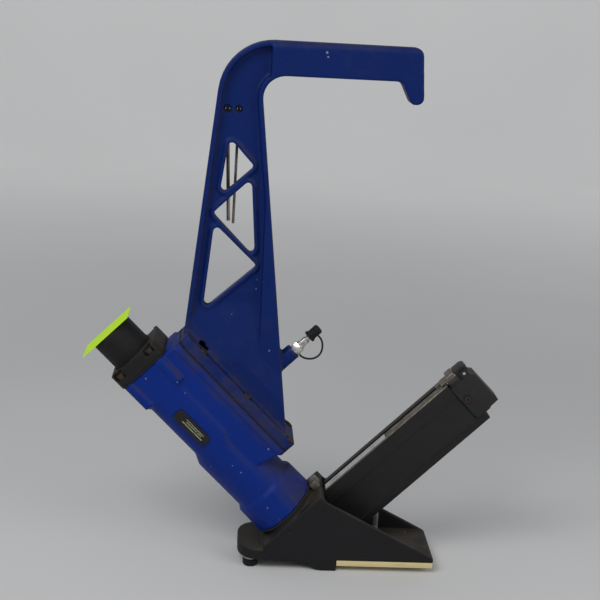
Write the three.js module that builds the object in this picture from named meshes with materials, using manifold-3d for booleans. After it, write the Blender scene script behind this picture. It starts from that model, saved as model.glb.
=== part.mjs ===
// Pneumatic flooring nailer, struck on top with a mallet.
// Millimetres, +Z up. +X runs from the striking end towards the rear of the magazine, +Y to the far side.
// The tool stands on two rubber feet and on its nose. Its driving axis leans 45 degrees and meets the
// floor at the nose. Most pieces are drawn in the drive frame: its origin is where that axis leaves the
// nose, its z runs up the axis to the striking cap and its x runs back along the magazine.
import * as THREE from 'three';
import { mergeVertices } from 'three/addons/utils/BufferGeometryUtils.js';
import Module from 'manifold-3d';

const wasm = await Module();
wasm.setup();

// ---- Driving dimensions ------------------------------------------------------------------------

const LEAN = THREE.MathUtils.degToRad(45); // the driving axis, from upright
const NOSE_X = 65.8; // where the driving axis meets the floor
const GAP = 0.3; // clearance between pieces that touch or slide
const SEAL = 1.0; // thickness of each flat gasket

const FOOT_WIDTH = 88; // over the two side walls
const FOOT_WALL = 6;
const FOOT_UNDERSIDE = 12; // height of the casting's underside between the nose and the front lip
const LIP_FRONT_X = -59.4; // front of the rounded lip
const LIP_TOP = 26;
const FLOOR_TOP = 22; // top of the rear pocket's floor
const REAR_X = 187.2; // rear end of the foot
const NOSE_LENGTH = 20; // flat under the nose, along X
const NOSE_STOP = 0.8; // the stop face's setback from the driving axis
const WALL_EDGE = 88; // slanting upper edge of the side walls, along the driving axis
const HUB_FACE = 95; // where the cylinder bolts to the foot, along the driving axis
const APEX = 53; // top corner of the side walls, measured back from the driving axis

const PLATE_THICK = 7; // plastic base plate
const PLATE_UNDERSIDE = 7;
const RUBBER_FOOT_RADIUS = 10;
const RUBBER_FOOT_X = -42.5;
const RUBBER_FOOT_SPREAD = 28;

const BORE_RADIUS = 26; // cylinder bore in the body casting
const SLEEVE_WALL = 2.4;
const COLLAR_RADIUS = 43.5; // flange round the bottom of the cylinder
const COLLAR_TOP = 138;
const BARREL_RADIUS = 38.5;
const WAIST_WALL = 3.3; // in front of the bore, where the middle of the body is set in
const SHELF_BOTTOM = 138; // wall across the bottom of the cylinder bore
const SHELF_TOP = 150;
const WAIST_BOTTOM = 229;
const WAIST_TOP = 308;
const BODY_TOP = 352;
const HEAD_BACK = 41; // head of the body, measured back from the driving axis
const HEAD_WALL = 3.5; // in front of the valve chamber
const HEAD_HALF_WIDTH = 38;
const CAP_BACK = 38.5;
const CAP_SET_IN = 1; // how far the cap's front stands behind the head's
const CAP_HALF_WIDTH = 40;
const CAP_THICK = 18.8;
const SPLIT = 58; // joint face between body and handle, measured back from the driving axis
const FLANGE_HALF_WIDTH = 36;
const FLANGE_LOW = 157; // ends of the joint face, along the driving axis
const FLANGE_HIGH = 349;
const FLANGE_THICK = 13.2; // handle side
const FLANGE_BOLTS = [319.5, 242.5, 164.5]; // along the driving axis, one pair at each
const FLANGE_BOLT_SPREAD = 28;
const AIRWAY_HALF = 17; // opening through the joint, between the air chamber and the cylinder
const CHAMBER_STEP = 3.5; // how much wider the valve chamber is than the cylinder bore
const CHAMBER_FLOOR = 300.3;

const RAM_RADIUS = 27.2;
const RAM_TOP = 411.5;
const RAM_BOTTOM = 363;
const STEM_RADIUS = 9;
const RAM_TRAVEL = 8; // the ram and the head valve move towards each other
const VALVE_TRAVEL = 6;

const PISTON_TOP = 292;
const PISTON_THICK = 20;
const BUMPER_TOP = 178;
const BLADE_TIP = 96; // end of the driver blade at rest
const BLADE_WIDTH = 12;
const BLADE_THICK = 2.4;
const GUIDE_HALF_WIDTH = 14; // steel plates either side of the driver channel

const MAG_HALF_WIDTH = 14;
const MAG_BOTTOM = 11.8; // magazine, along the driving axis
const MAG_TOP = 79;
const MAG_FRONT = 6.3; // magazine, measured back from the driving axis
const MAG_REAR = 257.5;
const MAG_HIGH_BAND = 18; // raised band along the top of the magazine's sides
const MAG_LOW_BAND = 8;
const MAG_RECESS = 1.5; // depth of the panel between the two bands
const MAG_FAR_OUT = 3; // the top's far edge stands further out, and higher, than its near one
const MAG_FAR_RISE = 1.7;
const MAG_WALL = 3;
const SLOT_NEAR = 2; // pusher slot in the magazine's top, in Y
const SLOT_FAR = 7.5;
const RAIL_THICK = 1.2;
const RAIL_FRONT = 56;
const LABEL_REAR = 157;
const END_CAP_REAR = 293.5;
const END_CAP_TOP = 73.5;
const END_CAP_BOTTOM = 21.5;
const PUSHER_LENGTH = 16;
const PUSHER_BACK = 256;
const LATCH_PIVOT = [284, 78]; // drive frame

const GRIP_TOP = 647.6;
const GRIP_THICK = 40;
const GRIP_END = 137;
const GRIP_START = -43; // where the round-edged grip leaves the ribbed upright
const GRIP_HALF_WIDTH = 16;
const HOOK_DROP = 26; // end stop hanging under the end of the grip
const UPRIGHT_TOP_LEFT = -98;
const UPRIGHT_TOP_RIGHT = -54.3;
const RIB_HALF_WIDTH = 14; // rim round the upright
const RIM = 6; // rim's width, seen from the side
const WEB_HALF = 5; // the upright's web
const WINDOW_RIM = 4;
const CHAMBER_HALF = 21; // air chamber at the bottom of the handle
const CHAMBER_END = 165; // where the chamber runs out into the web, measured back from the driving axis
const CHAMBER_SHOULDER = 262; // height above which the chamber narrows towards the windows
const CHAMBER_TOP = 352;
const SKIN = 4; // casting wall round the air chamber
const BOLT_POCKET = 6.6; // counterbore round each bolt head

const INLET_AXIS = 240; // air inlet boss, along the driving axis
const INLET_END = 147;
const INLET_RADIUS = 10;
const KEY_HEIGHT = 566.5; // hex keys kept in the handle
const KEYS = [
  { name: 'hex_key_large', x: -92, tip: -86.5, radius: 2.4, bottom: 431 },
  { name: 'hex_key_small', x: -79, tip: -80.7, radius: 1.9, bottom: 428 },
];

// ---- Materials ---------------------------------------------------------------------------------

const finish = (color, roughness, metalness) =>
  new THREE.MeshStandardMaterial({ color, roughness, metalness });
const bluePaint = finish(0x1b3f9c, 0.45, 0.0);
const blackCasting = finish(0x2b2c2e, 0.75, 0.1);
const blackAnodised = finish(0x232427, 0.5, 0.4);
const rubber = finish(0x1a1a1a, 0.85, 0.0);
const marker = finish(0xc8f400, 0.6, 0.0);
const steel = finish(0x9a9a98, 0.35, 1.0);
const darkSteel = finish(0x3a3734, 0.5, 0.9);
const brownSteel = finish(0x7a6c60, 0.55, 0.7);
const chrome = finish(0xd5d6d8, 0.15, 1.0);
const aluminium = finish(0xb4b5b8, 0.4, 0.9);
const cream = finish(0xe6dcb8, 0.5, 0.0);
const gasket = finish(0x4a4640, 0.9, 0.0);
const bumperRubber = finish(0x6b3a1c, 0.6, 0.0);
const paper = finish(0xc9c9c6, 0.6, 0.0);
const platePlastic = finish(0x151518, 0.35, 0.0);

// ---- Geometry helpers --------------------------------------------------------------------------

// A closed geometry as a solid that can be cut and joined.
function solid(geometry) {
  const bare = geometry.clone();
  bare.deleteAttribute('normal');
  bare.deleteAttribute('uv');
  const merged = mergeVertices(bare, 1e-4);
  const index = merged.index.array;
  const triVerts = [];
  for (let i = 0; i < index.length; i += 3) {
    const [a, b, c] = index.slice(i, i + 3);
    if (a !== b && b !== c && c !== a) triVerts.push(a, b, c);
  }
  const vertProperties = merged.attributes.position.array;
  return new wasm.Manifold(new wasm.Mesh({
    numProp: 3,
    vertProperties,
    triVerts: new Uint32Array(triVerts),
  }));
}

function geometryOf(body) {
  const mesh = body.getMesh();
  const geometry = new THREE.BufferGeometry();
  geometry.setAttribute('position', new THREE.BufferAttribute(mesh.vertProperties, 3));
  geometry.setIndex(new THREE.BufferAttribute(mesh.triVerts, 1));
  const flat = geometry.toNonIndexed();
  flat.computeVertexNormals();
  return flat;
}

function join(first, ...others) {
  return geometryOf(others.reduce((sum, g) => sum.add(solid(g)), solid(first)));
}

function cut(first, ...tools) {
  return geometryOf(tools.reduce((rest, g) => rest.subtract(solid(g)), solid(first)));
}

function common(first, ...others) {
  return geometryOf(others.reduce((rest, g) => rest.intersect(solid(g)), solid(first)));
}

// A point of the drive frame, as X and Z in the tool's own frame.
function lean(back, up) {
  const x = NOSE_X + back * Math.cos(LEAN) - up * Math.sin(LEAN);
  const z = back * Math.sin(LEAN) + up * Math.cos(LEAN);
  return [x, z];
}

// A geometry drawn in the drive frame, turned into the tool's own frame.
function tilted(geometry) {
  return geometry.clone().rotateY(-LEAN).translate(NOSE_X, 0, 0);
}

function shapeOf(points) {
  return new THREE.Shape(points.map(([x, y]) => new THREE.Vector2(x, y)));
}

// An outline in x and z, extruded between two values of y.
function prism(points, yFrom, yTo) {
  const geometry = new THREE.ExtrudeGeometry(shapeOf(points), { depth: yTo - yFrom, bevelEnabled: false });
  return geometry.rotateX(Math.PI / 2).translate(0, yTo, 0);
}

// An outline in y and z, extruded between two values of x.
function rail(points, xFrom, xTo) {
  const geometry = new THREE.ExtrudeGeometry(shapeOf(points), { depth: xTo - xFrom, bevelEnabled: false });
  return geometry.rotateX(Math.PI / 2).rotateZ(Math.PI / 2).translate(xFrom, 0, 0);
}

// An outline in x and y, extruded between two values of z.
function slab(points, zFrom, zTo) {
  const geometry = new THREE.ExtrudeGeometry(shapeOf(points), { depth: zTo - zFrom, bevelEnabled: false });
  return geometry.translate(0, 0, zFrom);
}

function block(x0, x1, y0, y1, z0, z1) {
  const geometry = new THREE.BoxGeometry(x1 - x0, y1 - y0, z1 - z0);
  return geometry.translate((x0 + x1) / 2, (y0 + y1) / 2, (z0 + z1) / 2);
}

// A round bar between two points.
function rod(from, to, radius, sides = 16, radiusTo = radius) {
  const start = new THREE.Vector3(...from);
  const along = new THREE.Vector3(...to).sub(start);
  const geometry = new THREE.CylinderGeometry(radiusTo, radius, along.length(), sides);
  geometry.translate(0, along.length() / 2, 0);
  const turn = new THREE.Quaternion().setFromUnitVectors(
    new THREE.Vector3(0, 1, 0),
    along.clone().normalize(),
  );
  return geometry.applyQuaternion(turn).translate(...from);
}

// A profile of [radius, height] pairs, turned about z.
function turned(profile, sides = 32) {
  const points = profile.map(([radius, height]) => new THREE.Vector2(radius, height));
  return new THREE.LatheGeometry(points, sides).rotateX(Math.PI / 2);
}

// A plain ring about z.
function ring(inner, outer, bottom, top, sides = 32) {
  return turned([[outer, bottom], [outer, top], [inner, top], [inner, bottom], [outer, bottom]], sides);
}

// Corner points rounded off: each corner is [x, y, radius].
function rounded(corners, steps = 4) {
  const points = [];
  corners.forEach(([x, y, radius = 0], i) => {
    const corner = new THREE.Vector2(x, y);
    if (!radius) {
      points.push([x, y]);
      return;
    }
    const before = corners.at(i - 1);
    const after = corners[(i + 1) % corners.length];
    const back = new THREE.Vector2(before[0], before[1]).sub(corner).normalize();
    const ahead = new THREE.Vector2(after[0], after[1]).sub(corner).normalize();
    const half = Math.acos(THREE.MathUtils.clamp(back.dot(ahead), -1, 1)) / 2;
    const middle = back.clone().add(ahead).normalize();
    const centre = corner.clone().addScaledVector(middle, radius / Math.sin(half));
    const start = corner.clone().addScaledVector(back, radius / Math.tan(half)).sub(centre);
    const end = corner.clone().addScaledVector(ahead, radius / Math.tan(half)).sub(centre);
    const sweep = Math.atan2(start.cross(end), start.dot(end));
    for (let k = 0; k <= steps; k += 1) {
      const point = start.clone().rotateAround(new THREE.Vector2(), (sweep * k) / steps).add(centre);
      points.push([point.x, point.y]);
    }
  });
  return points;
}

// An outline with every edge moved inwards; a negative distance moves it outwards.
function inset(corners, distance) {
  const area = corners.reduce((sum, [x, y], i) => {
    const [nextX, nextY] = corners[(i + 1) % corners.length];
    return sum + x * nextY - nextX * y;
  }, 0);
  const inwards = Math.sign(area) * distance;
  return corners.map(([x, y, radius = 0], i) => {
    const [px, py] = corners.at(i - 1);
    const [nx, ny] = corners[(i + 1) % corners.length];
    const a = new THREE.Vector2(x - px, y - py).normalize();
    const b = new THREE.Vector2(nx - x, ny - y).normalize();
    const normal = new THREE.Vector2(-a.y - b.y, a.x + b.x);
    const reach = (2 * inwards) / normal.lengthSq();
    const turn = Math.sign(a.cross(b)) * Math.sign(area);
    const moved = radius ? Math.max(radius - turn * distance, 0.5) : 0;
    return [x + normal.x * reach, y + normal.y * reach, moved];
  });
}

// One cross section of a cast barrel: a rectangle with round corners, in x and y at a height.
function section(height, back, front, halfWidth, corner, steps = 6) {
  const centres = [
    [back - corner, halfWidth - corner],
    [front + corner, halfWidth - corner],
    [front + corner, corner - halfWidth],
    [back - corner, corner - halfWidth],
  ];
  const points = [];
  centres.forEach(([x, y], quarter) => {
    for (let k = 0; k <= steps; k += 1) {
      const angle = (quarter + k / steps) * (Math.PI / 2);
      points.push(new THREE.Vector3(x + corner * Math.cos(angle), y + corner * Math.sin(angle), height));
    }
  });
  return points;
}

// A closed skin through cross sections that rise in z.
function loft(sections) {
  const count = sections[0].length;
  const corners = [];
  const quad = (a, b, c, d) => corners.push(a, b, c, a, c, d);
  for (let level = 1; level < sections.length; level += 1) {
    for (let i = 0; i < count; i += 1) {
      const j = (i + 1) % count;
      quad(sections[level - 1][i], sections[level - 1][j], sections[level][j], sections[level][i]);
    }
  }
  const bottom = sections[0];
  const top = sections.at(-1);
  for (let i = 1; i < count - 1; i += 1) {
    corners.push(bottom[0], bottom[i + 1], bottom[i]);
    corners.push(top[0], top[i], top[i + 1]);
  }
  return new THREE.BufferGeometry().setFromPoints(corners);
}

// A wire coiled round z between two heights.
function coil(radius, wire, bottom, top, turns) {
  const steps = turns * 14;
  const points = [];
  for (let k = 0; k <= steps; k += 1) {
    const angle = (k / steps) * turns * 2 * Math.PI;
    const height = bottom + wire + ((top - bottom - 2 * wire) * k) / steps;
    points.push(new THREE.Vector3(radius * Math.cos(angle), radius * Math.sin(angle), height));
  }
  return tube(points, wire, 6, steps);
}

// A round tube along a smooth path.
function tube(points, radius, sides, steps) {
  const circle = new THREE.Shape();
  for (let k = 0; k < sides; k += 1) {
    const angle = (k / sides) * 2 * Math.PI;
    const [x, y] = [radius * Math.cos(angle), radius * Math.sin(angle)];
    if (k) circle.lineTo(x, y);
    else circle.moveTo(x, y);
  }
  const path = new THREE.CatmullRomCurve3(points);
  return new THREE.ExtrudeGeometry(circle, { steps, extrudePath: path, bevelEnabled: false });
}

// A socket head screw that points down -z, its head's underside at the origin.
function capScrew(shankRadius, shankLength, headRadius, headHeight) {
  const socket = headRadius * 0.5;
  const chamfer = headRadius * 0.12;
  return turned([
    [0, -shankLength],
    [shankRadius, -shankLength],
    [shankRadius, 0],
    [headRadius, 0],
    [headRadius, headHeight - chamfer],
    [headRadius - chamfer, headHeight],
    [socket, headHeight],
    [socket, headHeight * 0.45],
    [0, headHeight * 0.45],
  ], 10);
}

const tool = new THREE.Group();
const drive = new THREE.Group();
drive.position.x = NOSE_X;
drive.rotation.y = -LEAN;
tool.add(drive);

function piece(name, geometry, material, group = drive) {
  const mesh = new THREE.Mesh(geometry, material);
  mesh.name = name;
  group.add(mesh);
  return mesh;
}

// ---- Foot --------------------------------------------------------------------------------------

const halfFoot = FOOT_WIDTH / 2;
const plateTop = PLATE_UNDERSIDE + PLATE_THICK;
const stopX = NOSE_X - NOSE_STOP;
const guideSlot = GUIDE_HALF_WIDTH + GAP;
const magazineSlot = MAG_HALF_WIDTH + GAP;
const stopTop = PLATE_UNDERSIDE - 0.5;
const footBolts = [[1, 1], [1, -1], [-1, 1], [-1, -1]].map(([side, width]) => [side * 26, width * 26]);
const footBoltSeat = HUB_FACE - 14;
const plateScrewX = 161;
const plateScrewSpread = 31;

function footCasting() {
  const wallSide = prism([
    [stopX - NOSE_LENGTH, 0],
    [stopX, 0],
    [stopX, stopTop],
    [stopX - 0.5, stopTop],
    [stopX - 0.5, plateTop + GAP],
    [REAR_X, plateTop + GAP],
    [REAR_X, plateTop + 5.3],
    [REAR_X - 4, plateTop + 8.3],
    lean(APEX, WALL_EDGE - 12),
    lean(APEX, WALL_EDGE),
    lean(-COLLAR_RADIUS, WALL_EDGE),
    [lean(-COLLAR_RADIUS, WALL_EDGE)[0], FOOT_UNDERSIDE],
    [stopX - NOSE_LENGTH - 30, FOOT_UNDERSIDE],
    [stopX - NOSE_LENGTH - 18, FOOT_UNDERSIDE - 3],
    [stopX - NOSE_LENGTH - 7, 2],
  ], -halfFoot, halfFoot);
  const lip = slab(rounded([
    [LIP_FRONT_X, -halfFoot, 30],
    [0, -halfFoot],
    [0, halfFoot],
    [LIP_FRONT_X, halfFoot, 30],
  ], 8), FOOT_UNDERSIDE, LIP_TOP);
  const hub = tilted(rod([0, 0, WALL_EDGE - 4], [0, 0, HUB_FACE], COLLAR_RADIUS - 1.5, 40));
  const pocketFront = 24;
  const pocketDrop = FLOOR_TOP / Math.cos(LEAN) - pocketFront * Math.tan(LEAN);
  const pocket = prism([
    lean(pocketFront, MAG_TOP + GAP),
    lean(pocketFront, pocketDrop),
    [REAR_X + 20, FLOOR_TOP],
    [REAR_X + 20, FLOOR_TOP + 200],
    lean(pocketFront + 150, MAG_TOP + GAP),
  ], -halfFoot + FOOT_WALL, halfFoot - FOOT_WALL);
  const channel = [
    block(-6, 6, -guideSlot, guideSlot, -30, HUB_FACE + 10),
    block(-6, pocketFront + 1, -magazineSlot, magazineSlot, MAG_BOTTOM - GAP, MAG_TOP + GAP),
  ].map(tilted);
  const boltHoles = footBolts.flatMap(([x, y]) => [
    rod([x, y, footBoltSeat - GAP - 40], [x, y, footBoltSeat], 5.8, 12),
    rod([x, y, footBoltSeat - 1], [x, y, HUB_FACE + 10], 2.9, 12),
  ]).map(tilted);
  const screwHoles = [-1, 1].map((side) =>
    rod([plateScrewX, side * plateScrewSpread, 0], [plateScrewX, side * plateScrewSpread, 40], 2.4, 12));
  const padHoles = [-1, 1].map((side) => rod(
    [RUBBER_FOOT_X, side * RUBBER_FOOT_SPREAD, 0],
    [RUBBER_FOOT_X, side * RUBBER_FOOT_SPREAD, LIP_TOP - 4],
    3.3,
    12,
  ));
  const bracketHole = tilted(rod([49.5, 0, WALL_EDGE - 8], [49.5, 0, WALL_EDGE + 10], 2.3, 12));
  const exhaust = tilted(rod([0, 0, HUB_FACE - 6], [0, 0, HUB_FACE + 10], 16, 24));
  return cut(
    join(wallSide, lip, hub),
    pocket,
    ...channel,
    ...boltHoles,
    ...screwHoles,
    ...padHoles,
    bracketHole,
    exhaust,
  );
}

piece('foot_casting', footCasting(), blackCasting, tool);

footBolts.forEach(([x, y], i) => {
  const screw = capScrew(2.6, 30, 5, 5).rotateX(Math.PI).translate(x, y, footBoltSeat - GAP);
  piece(`foot_bolt_${i + 1}`, screw, darkSteel);
});

[-1, 1].forEach((side, i) => {
  const [y, name] = [side * RUBBER_FOOT_SPREAD, ['near', 'far'][i]];
  const pad = turned([
    [0, 0],
    [RUBBER_FOOT_RADIUS - 2.5, 0],
    [RUBBER_FOOT_RADIUS, 2.5],
    [RUBBER_FOOT_RADIUS, FOOT_UNDERSIDE - 3],
    [RUBBER_FOOT_RADIUS - 1, FOOT_UNDERSIDE - GAP],
    [3, FOOT_UNDERSIDE - GAP],
    [3, LIP_TOP - 6],
    [0, LIP_TOP - 6],
  ], 20).translate(RUBBER_FOOT_X, y, 0);
  piece(`rubber_foot_${name}`, pad, rubber, tool);
  const screw = turned([
    [0, PLATE_UNDERSIDE + 0.5],
    [4.2, PLATE_UNDERSIDE + 0.5],
    [2, PLATE_UNDERSIDE + 3],
    [2, FLOOR_TOP],
    [0, FLOOR_TOP],
  ], 12).translate(plateScrewX, side * plateScrewSpread, 0);
  piece(`base_plate_screw_${name}`, screw, steel, tool);
});

const plateHoles = [-1, 1].map((side) => turned([
  [0, 0],
  [4.6, 0],
  [4.6, PLATE_UNDERSIDE + 0.6],
  [2.4, PLATE_UNDERSIDE + 3],
  [2.4, plateTop + 2],
  [0, plateTop + 2],
], 12).translate(plateScrewX, side * plateScrewSpread, 0));
const plateBlank = block(stopX + GAP, REAR_X - 0.9, 0.5 - halfFoot, halfFoot - 0.5, PLATE_UNDERSIDE, plateTop);
piece('base_plate', cut(plateBlank, ...plateHoles), cream, tool);

const guideTop = HUB_FACE - GAP;
piece(
  'driver_guide_front',
  block(-5.7, -1.7, -GUIDE_HALF_WIDTH, GUIDE_HALF_WIDTH, 6.5, guideTop),
  steel,
);
piece('driver_guide_rear', cut(
  block(1.7, MAG_FRONT - 0.5, -GUIDE_HALF_WIDTH, GUIDE_HALF_WIDTH, 7.6, guideTop),
  block(0, MAG_FRONT + 2, -2.2, 2.2, MAG_BOTTOM + 3, MAG_TOP - 4),
), steel);

const bracketBottom = WALL_EDGE + GAP;
piece('nose_bracket', join(
  block(COLLAR_RADIUS + 1, APEX + 1, -12, 12, bracketBottom, WALL_EDGE + 9.5),
  rod([49.5, 0, WALL_EDGE - 7], [49.5, 0, WALL_EDGE + 12], 2, 12),
), brownSteel);

piece('magazine_strut', (() => {
  const top = (x) => (x - NOSE_X) * Math.tan(LEAN) + (MAG_BOTTOM - GAP) / Math.cos(LEAN);
  const [front, back, foot] = [113, 120, 3];
  return prism([
    [front, FLOOR_TOP + GAP],
    [back + 7, FLOOR_TOP + GAP],
    [back + 7, FLOOR_TOP + GAP + foot],
    [back, FLOOR_TOP + GAP + foot],
    [back, top(back)],
    [front, top(front)],
  ], 4, 12);
})(), steel, tool);

// ---- Body --------------------------------------------------------------------------------------

const bodyBottom = HUB_FACE + SEAL + 2 * GAP;
const chamberRadius = BORE_RADIUS + CHAMBER_STEP;
const headFront = -(chamberRadius + HEAD_WALL);
const splitFace = SPLIT - SEAL / 2 - GAP; // the body's side of the joint to the handle
const flangeBack = SPLIT + SEAL / 2 + GAP;
const sleeveOuter = BORE_RADIUS - GAP;
const sleeveInner = sleeveOuter - SLEEVE_WALL;
const pistonRadius = sleeveInner - GAP;
const flangeOuter = flangeBack + FLANGE_THICK;
const handleBoltLength = 28;
const handleBoltSeat = flangeOuter - 5; // counterbored into the handle's flange
const handleBoltEnd = handleBoltSeat + GAP - handleBoltLength;
const headBolts = [[25.5, 1], [25.5, -1], [-21.5, 1], [-21.5, -1]].map(([x, side]) => [x, side * 32.5]);

function bodyCasting() {
  const waistFront = -(BORE_RADIUS + WAIST_WALL);
  const barrel = loft([
    section(bodyBottom, COLLAR_RADIUS, -COLLAR_RADIUS, COLLAR_RADIUS, COLLAR_RADIUS),
    section(COLLAR_TOP - 5, COLLAR_RADIUS - 0.6, 0.6 - COLLAR_RADIUS, COLLAR_RADIUS - 0.6, COLLAR_RADIUS - 0.6),
    section(COLLAR_TOP, BARREL_RADIUS, -BARREL_RADIUS, BARREL_RADIUS, BARREL_RADIUS),
    section(WAIST_BOTTOM - 16, BARREL_RADIUS, -BARREL_RADIUS, BARREL_RADIUS, BARREL_RADIUS),
    section(WAIST_BOTTOM, BARREL_RADIUS, waistFront, BARREL_RADIUS - 1, 26),
    section(WAIST_TOP, BARREL_RADIUS, waistFront, BARREL_RADIUS - 1, 26),
    section(WAIST_TOP + 5, HEAD_BACK, headFront, HEAD_HALF_WIDTH, 22),
    section(BODY_TOP, HEAD_BACK, headFront, HEAD_HALF_WIDTH, 22),
  ]);
  const sideWalls = prism([
    [21, FLANGE_LOW + 12],
    [50, FLANGE_LOW + 4],
    [50, BODY_TOP - 1],
    [21, BODY_TOP - 1],
  ], 2 - FLANGE_HALF_WIDTH, FLANGE_HALF_WIDTH - 2);
  const flange = rail(rounded([
    [-FLANGE_HALF_WIDTH, FLANGE_LOW, 8],
    [FLANGE_HALF_WIDTH, FLANGE_LOW, 8],
    [FLANGE_HALF_WIDTH, FLANGE_HIGH, 8],
    [-FLANGE_HALF_WIDTH, FLANGE_HIGH, 8],
  ]), 49.5, splitFace);
  const columns = headBolts.map(([x, y]) => rod([x, y, WAIST_TOP + 6], [x, y, BODY_TOP], 8, 16));
  const bore = rod([0, 0, SHELF_TOP], [0, 0, BODY_TOP + 10], BORE_RADIUS, 40);
  const valveChamber = rod([0, 0, CHAMBER_FLOOR], [0, 0, BODY_TOP + 10], chamberRadius, 40);
  const exhaust = rod([0, 0, bodyBottom - 10], [0, 0, SHELF_BOTTOM], BORE_RADIUS, 40);
  const bladeHole = block(-2.2, 2.2, -7, 7, SHELF_BOTTOM - 5, SHELF_TOP + 5);
  const airWay = block(20, SPLIT + 10, -AIRWAY_HALF, AIRWAY_HALF, 190, 296);
  const exhaustPort = rod([-30, 0, 116], [-60, 0, 116], 7, 16);
  const flangeHoles = FLANGE_BOLTS.flatMap((z) => [-1, 1].map((side) =>
    rod([handleBoltEnd - 1, side * FLANGE_BOLT_SPREAD, z], [SPLIT + 10, side * FLANGE_BOLT_SPREAD, z], 3.3, 10)));
  const headHoles = headBolts.map(([x, y]) => rod([x, y, BODY_TOP - 22], [x, y, BODY_TOP + 5], 3.3, 12));
  const footHoles = footBolts.map(([x, y]) => rod([x, y, 60], [x, y, HUB_FACE + 20], 2.9, 12));
  return cut(
    join(barrel, sideWalls, flange, ...columns),
    bore,
    valveChamber,
    exhaust,
    bladeHole,
    airWay,
    exhaustPort,
    ...flangeHoles,
    ...headHoles,
    ...footHoles,
  );
}

piece('body_casting', bodyCasting(), bluePaint);

piece('foot_gasket', cut(
  ring(BORE_RADIUS, COLLAR_RADIUS + 0.3, HUB_FACE + GAP, HUB_FACE + GAP + SEAL, 32),
  ...footBolts.map(([x, y]) => rod([x, y, 60], [x, y, 120], 2.9, 12)),
), gasket);

piece('nameplate', block(-11, 4.5, -BARREL_RADIUS - 0.1, -BARREL_RADIUS + 0.7, 234, 288), platePlastic);

piece('cylinder_sleeve', ring(sleeveInner, sleeveOuter, SHELF_TOP + GAP, CHAMBER_FLOOR - GAP), aluminium);

piece('bumper', cut(
  turned([
    [0, SHELF_TOP + GAP],
    [sleeveInner - GAP, SHELF_TOP + GAP],
    [sleeveInner - 2, SHELF_TOP + 14],
    [sleeveInner - 5, BUMPER_TOP],
    [0, BUMPER_TOP],
  ], 32),
  block(-2.2, 2.2, -7, 7, SHELF_TOP - 5, BUMPER_TOP + 5),
), bumperRubber);

const pistonBottom = PISTON_TOP - PISTON_THICK;
piece('piston', cut(
  turned([
    [0, pistonBottom],
    [pistonRadius - 1, pistonBottom],
    [pistonRadius, pistonBottom + 1],
    [pistonRadius, pistonBottom + 9],
    [pistonRadius - 3.5, pistonBottom + 9],
    [pistonRadius - 3.5, pistonBottom + 13.4],
    [pistonRadius, pistonBottom + 13.4],
    [pistonRadius, PISTON_TOP - 1],
    [pistonRadius - 1, PISTON_TOP],
    [0, PISTON_TOP],
  ], 40),
  block(-1.5, 1.5, -6.3, 6.3, pistonBottom - 5, pistonBottom + 12),
), aluminium);

piece('piston_o_ring', new THREE.TorusGeometry(pistonRadius - 1.55, 1.6, 6, 32)
  .translate(0, 0, pistonBottom + 11.2), rubber);

piece('driver_blade', block(
  -BLADE_THICK / 2,
  BLADE_THICK / 2,
  -BLADE_WIDTH / 2,
  BLADE_WIDTH / 2,
  BLADE_TIP,
  pistonBottom + 11.7,
), steel);

// ---- Valve, ram and head cap -------------------------------------------------------------------

const valveBottom = CHAMBER_FLOOR + GAP;
const valveTop = valveBottom + 11;
const guideBottom = 326;
const valveGuideTop = 334;
const capBottom = BODY_TOP + SEAL + 2 * GAP;
const capTop = capBottom + CAP_THICK;
const ramFlangeTop = capBottom - GAP;
const ramFlangeBottom = ramFlangeTop - 5;
const stemEnd = valveTop + RAM_TRAVEL + VALVE_TRAVEL + 1.3;

piece('head_valve', turned([
  [10.5, valveBottom],
  [chamberRadius - GAP, valveBottom],
  [chamberRadius - GAP, valveTop - 3],
  [22, valveTop - 3],
  [22, valveTop],
  [10.5, valveTop],
  [10.5, valveBottom],
]), aluminium);
piece('head_valve_spring', coil(chamberRadius - 4, 0.9, valveTop - 3 + GAP, guideBottom - GAP, 3), steel);
piece('valve_guide', ring(STEM_RADIUS + GAP, chamberRadius - GAP, guideBottom, valveGuideTop), aluminium);
piece('ram_spring', coil(17, 0.8, valveGuideTop + GAP, ramFlangeBottom - GAP, 2), steel);

piece('ram_stem', turned([
  [0, stemEnd],
  [STEM_RADIUS, stemEnd],
  [STEM_RADIUS, ramFlangeBottom],
  [chamberRadius - 1, ramFlangeBottom],
  [chamberRadius - 1, ramFlangeTop],
  [STEM_RADIUS, ramFlangeTop],
  [STEM_RADIUS, RAM_TOP - 20],
  [0, RAM_TOP - 20],
], 32), steel);

piece('ram_cap', turned([
  [STEM_RADIUS + GAP, RAM_BOTTOM],
  [RAM_RADIUS - 1, RAM_BOTTOM],
  [RAM_RADIUS, RAM_BOTTOM + 1],
  [RAM_RADIUS, RAM_TOP - 2],
  [RAM_RADIUS - 2, RAM_TOP],
  [0, RAM_TOP],
  [0, RAM_TOP - 20 + GAP],
  [STEM_RADIUS + GAP, RAM_TOP - 20 + GAP],
  [STEM_RADIUS + GAP, RAM_BOTTOM],
], 40), rubber);

const capHole = RAM_RADIUS + 0.5;
const sealSeat = capBottom + 6;

function capOutline(grow = 0) {
  const [back, front, half] = [CAP_BACK + grow, headFront + CAP_SET_IN - grow, CAP_HALF_WIDTH + grow];
  return rounded([[front, -half, 11], [back, -half, 11], [back, half, 11], [front, half, 11]]);
}

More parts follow.
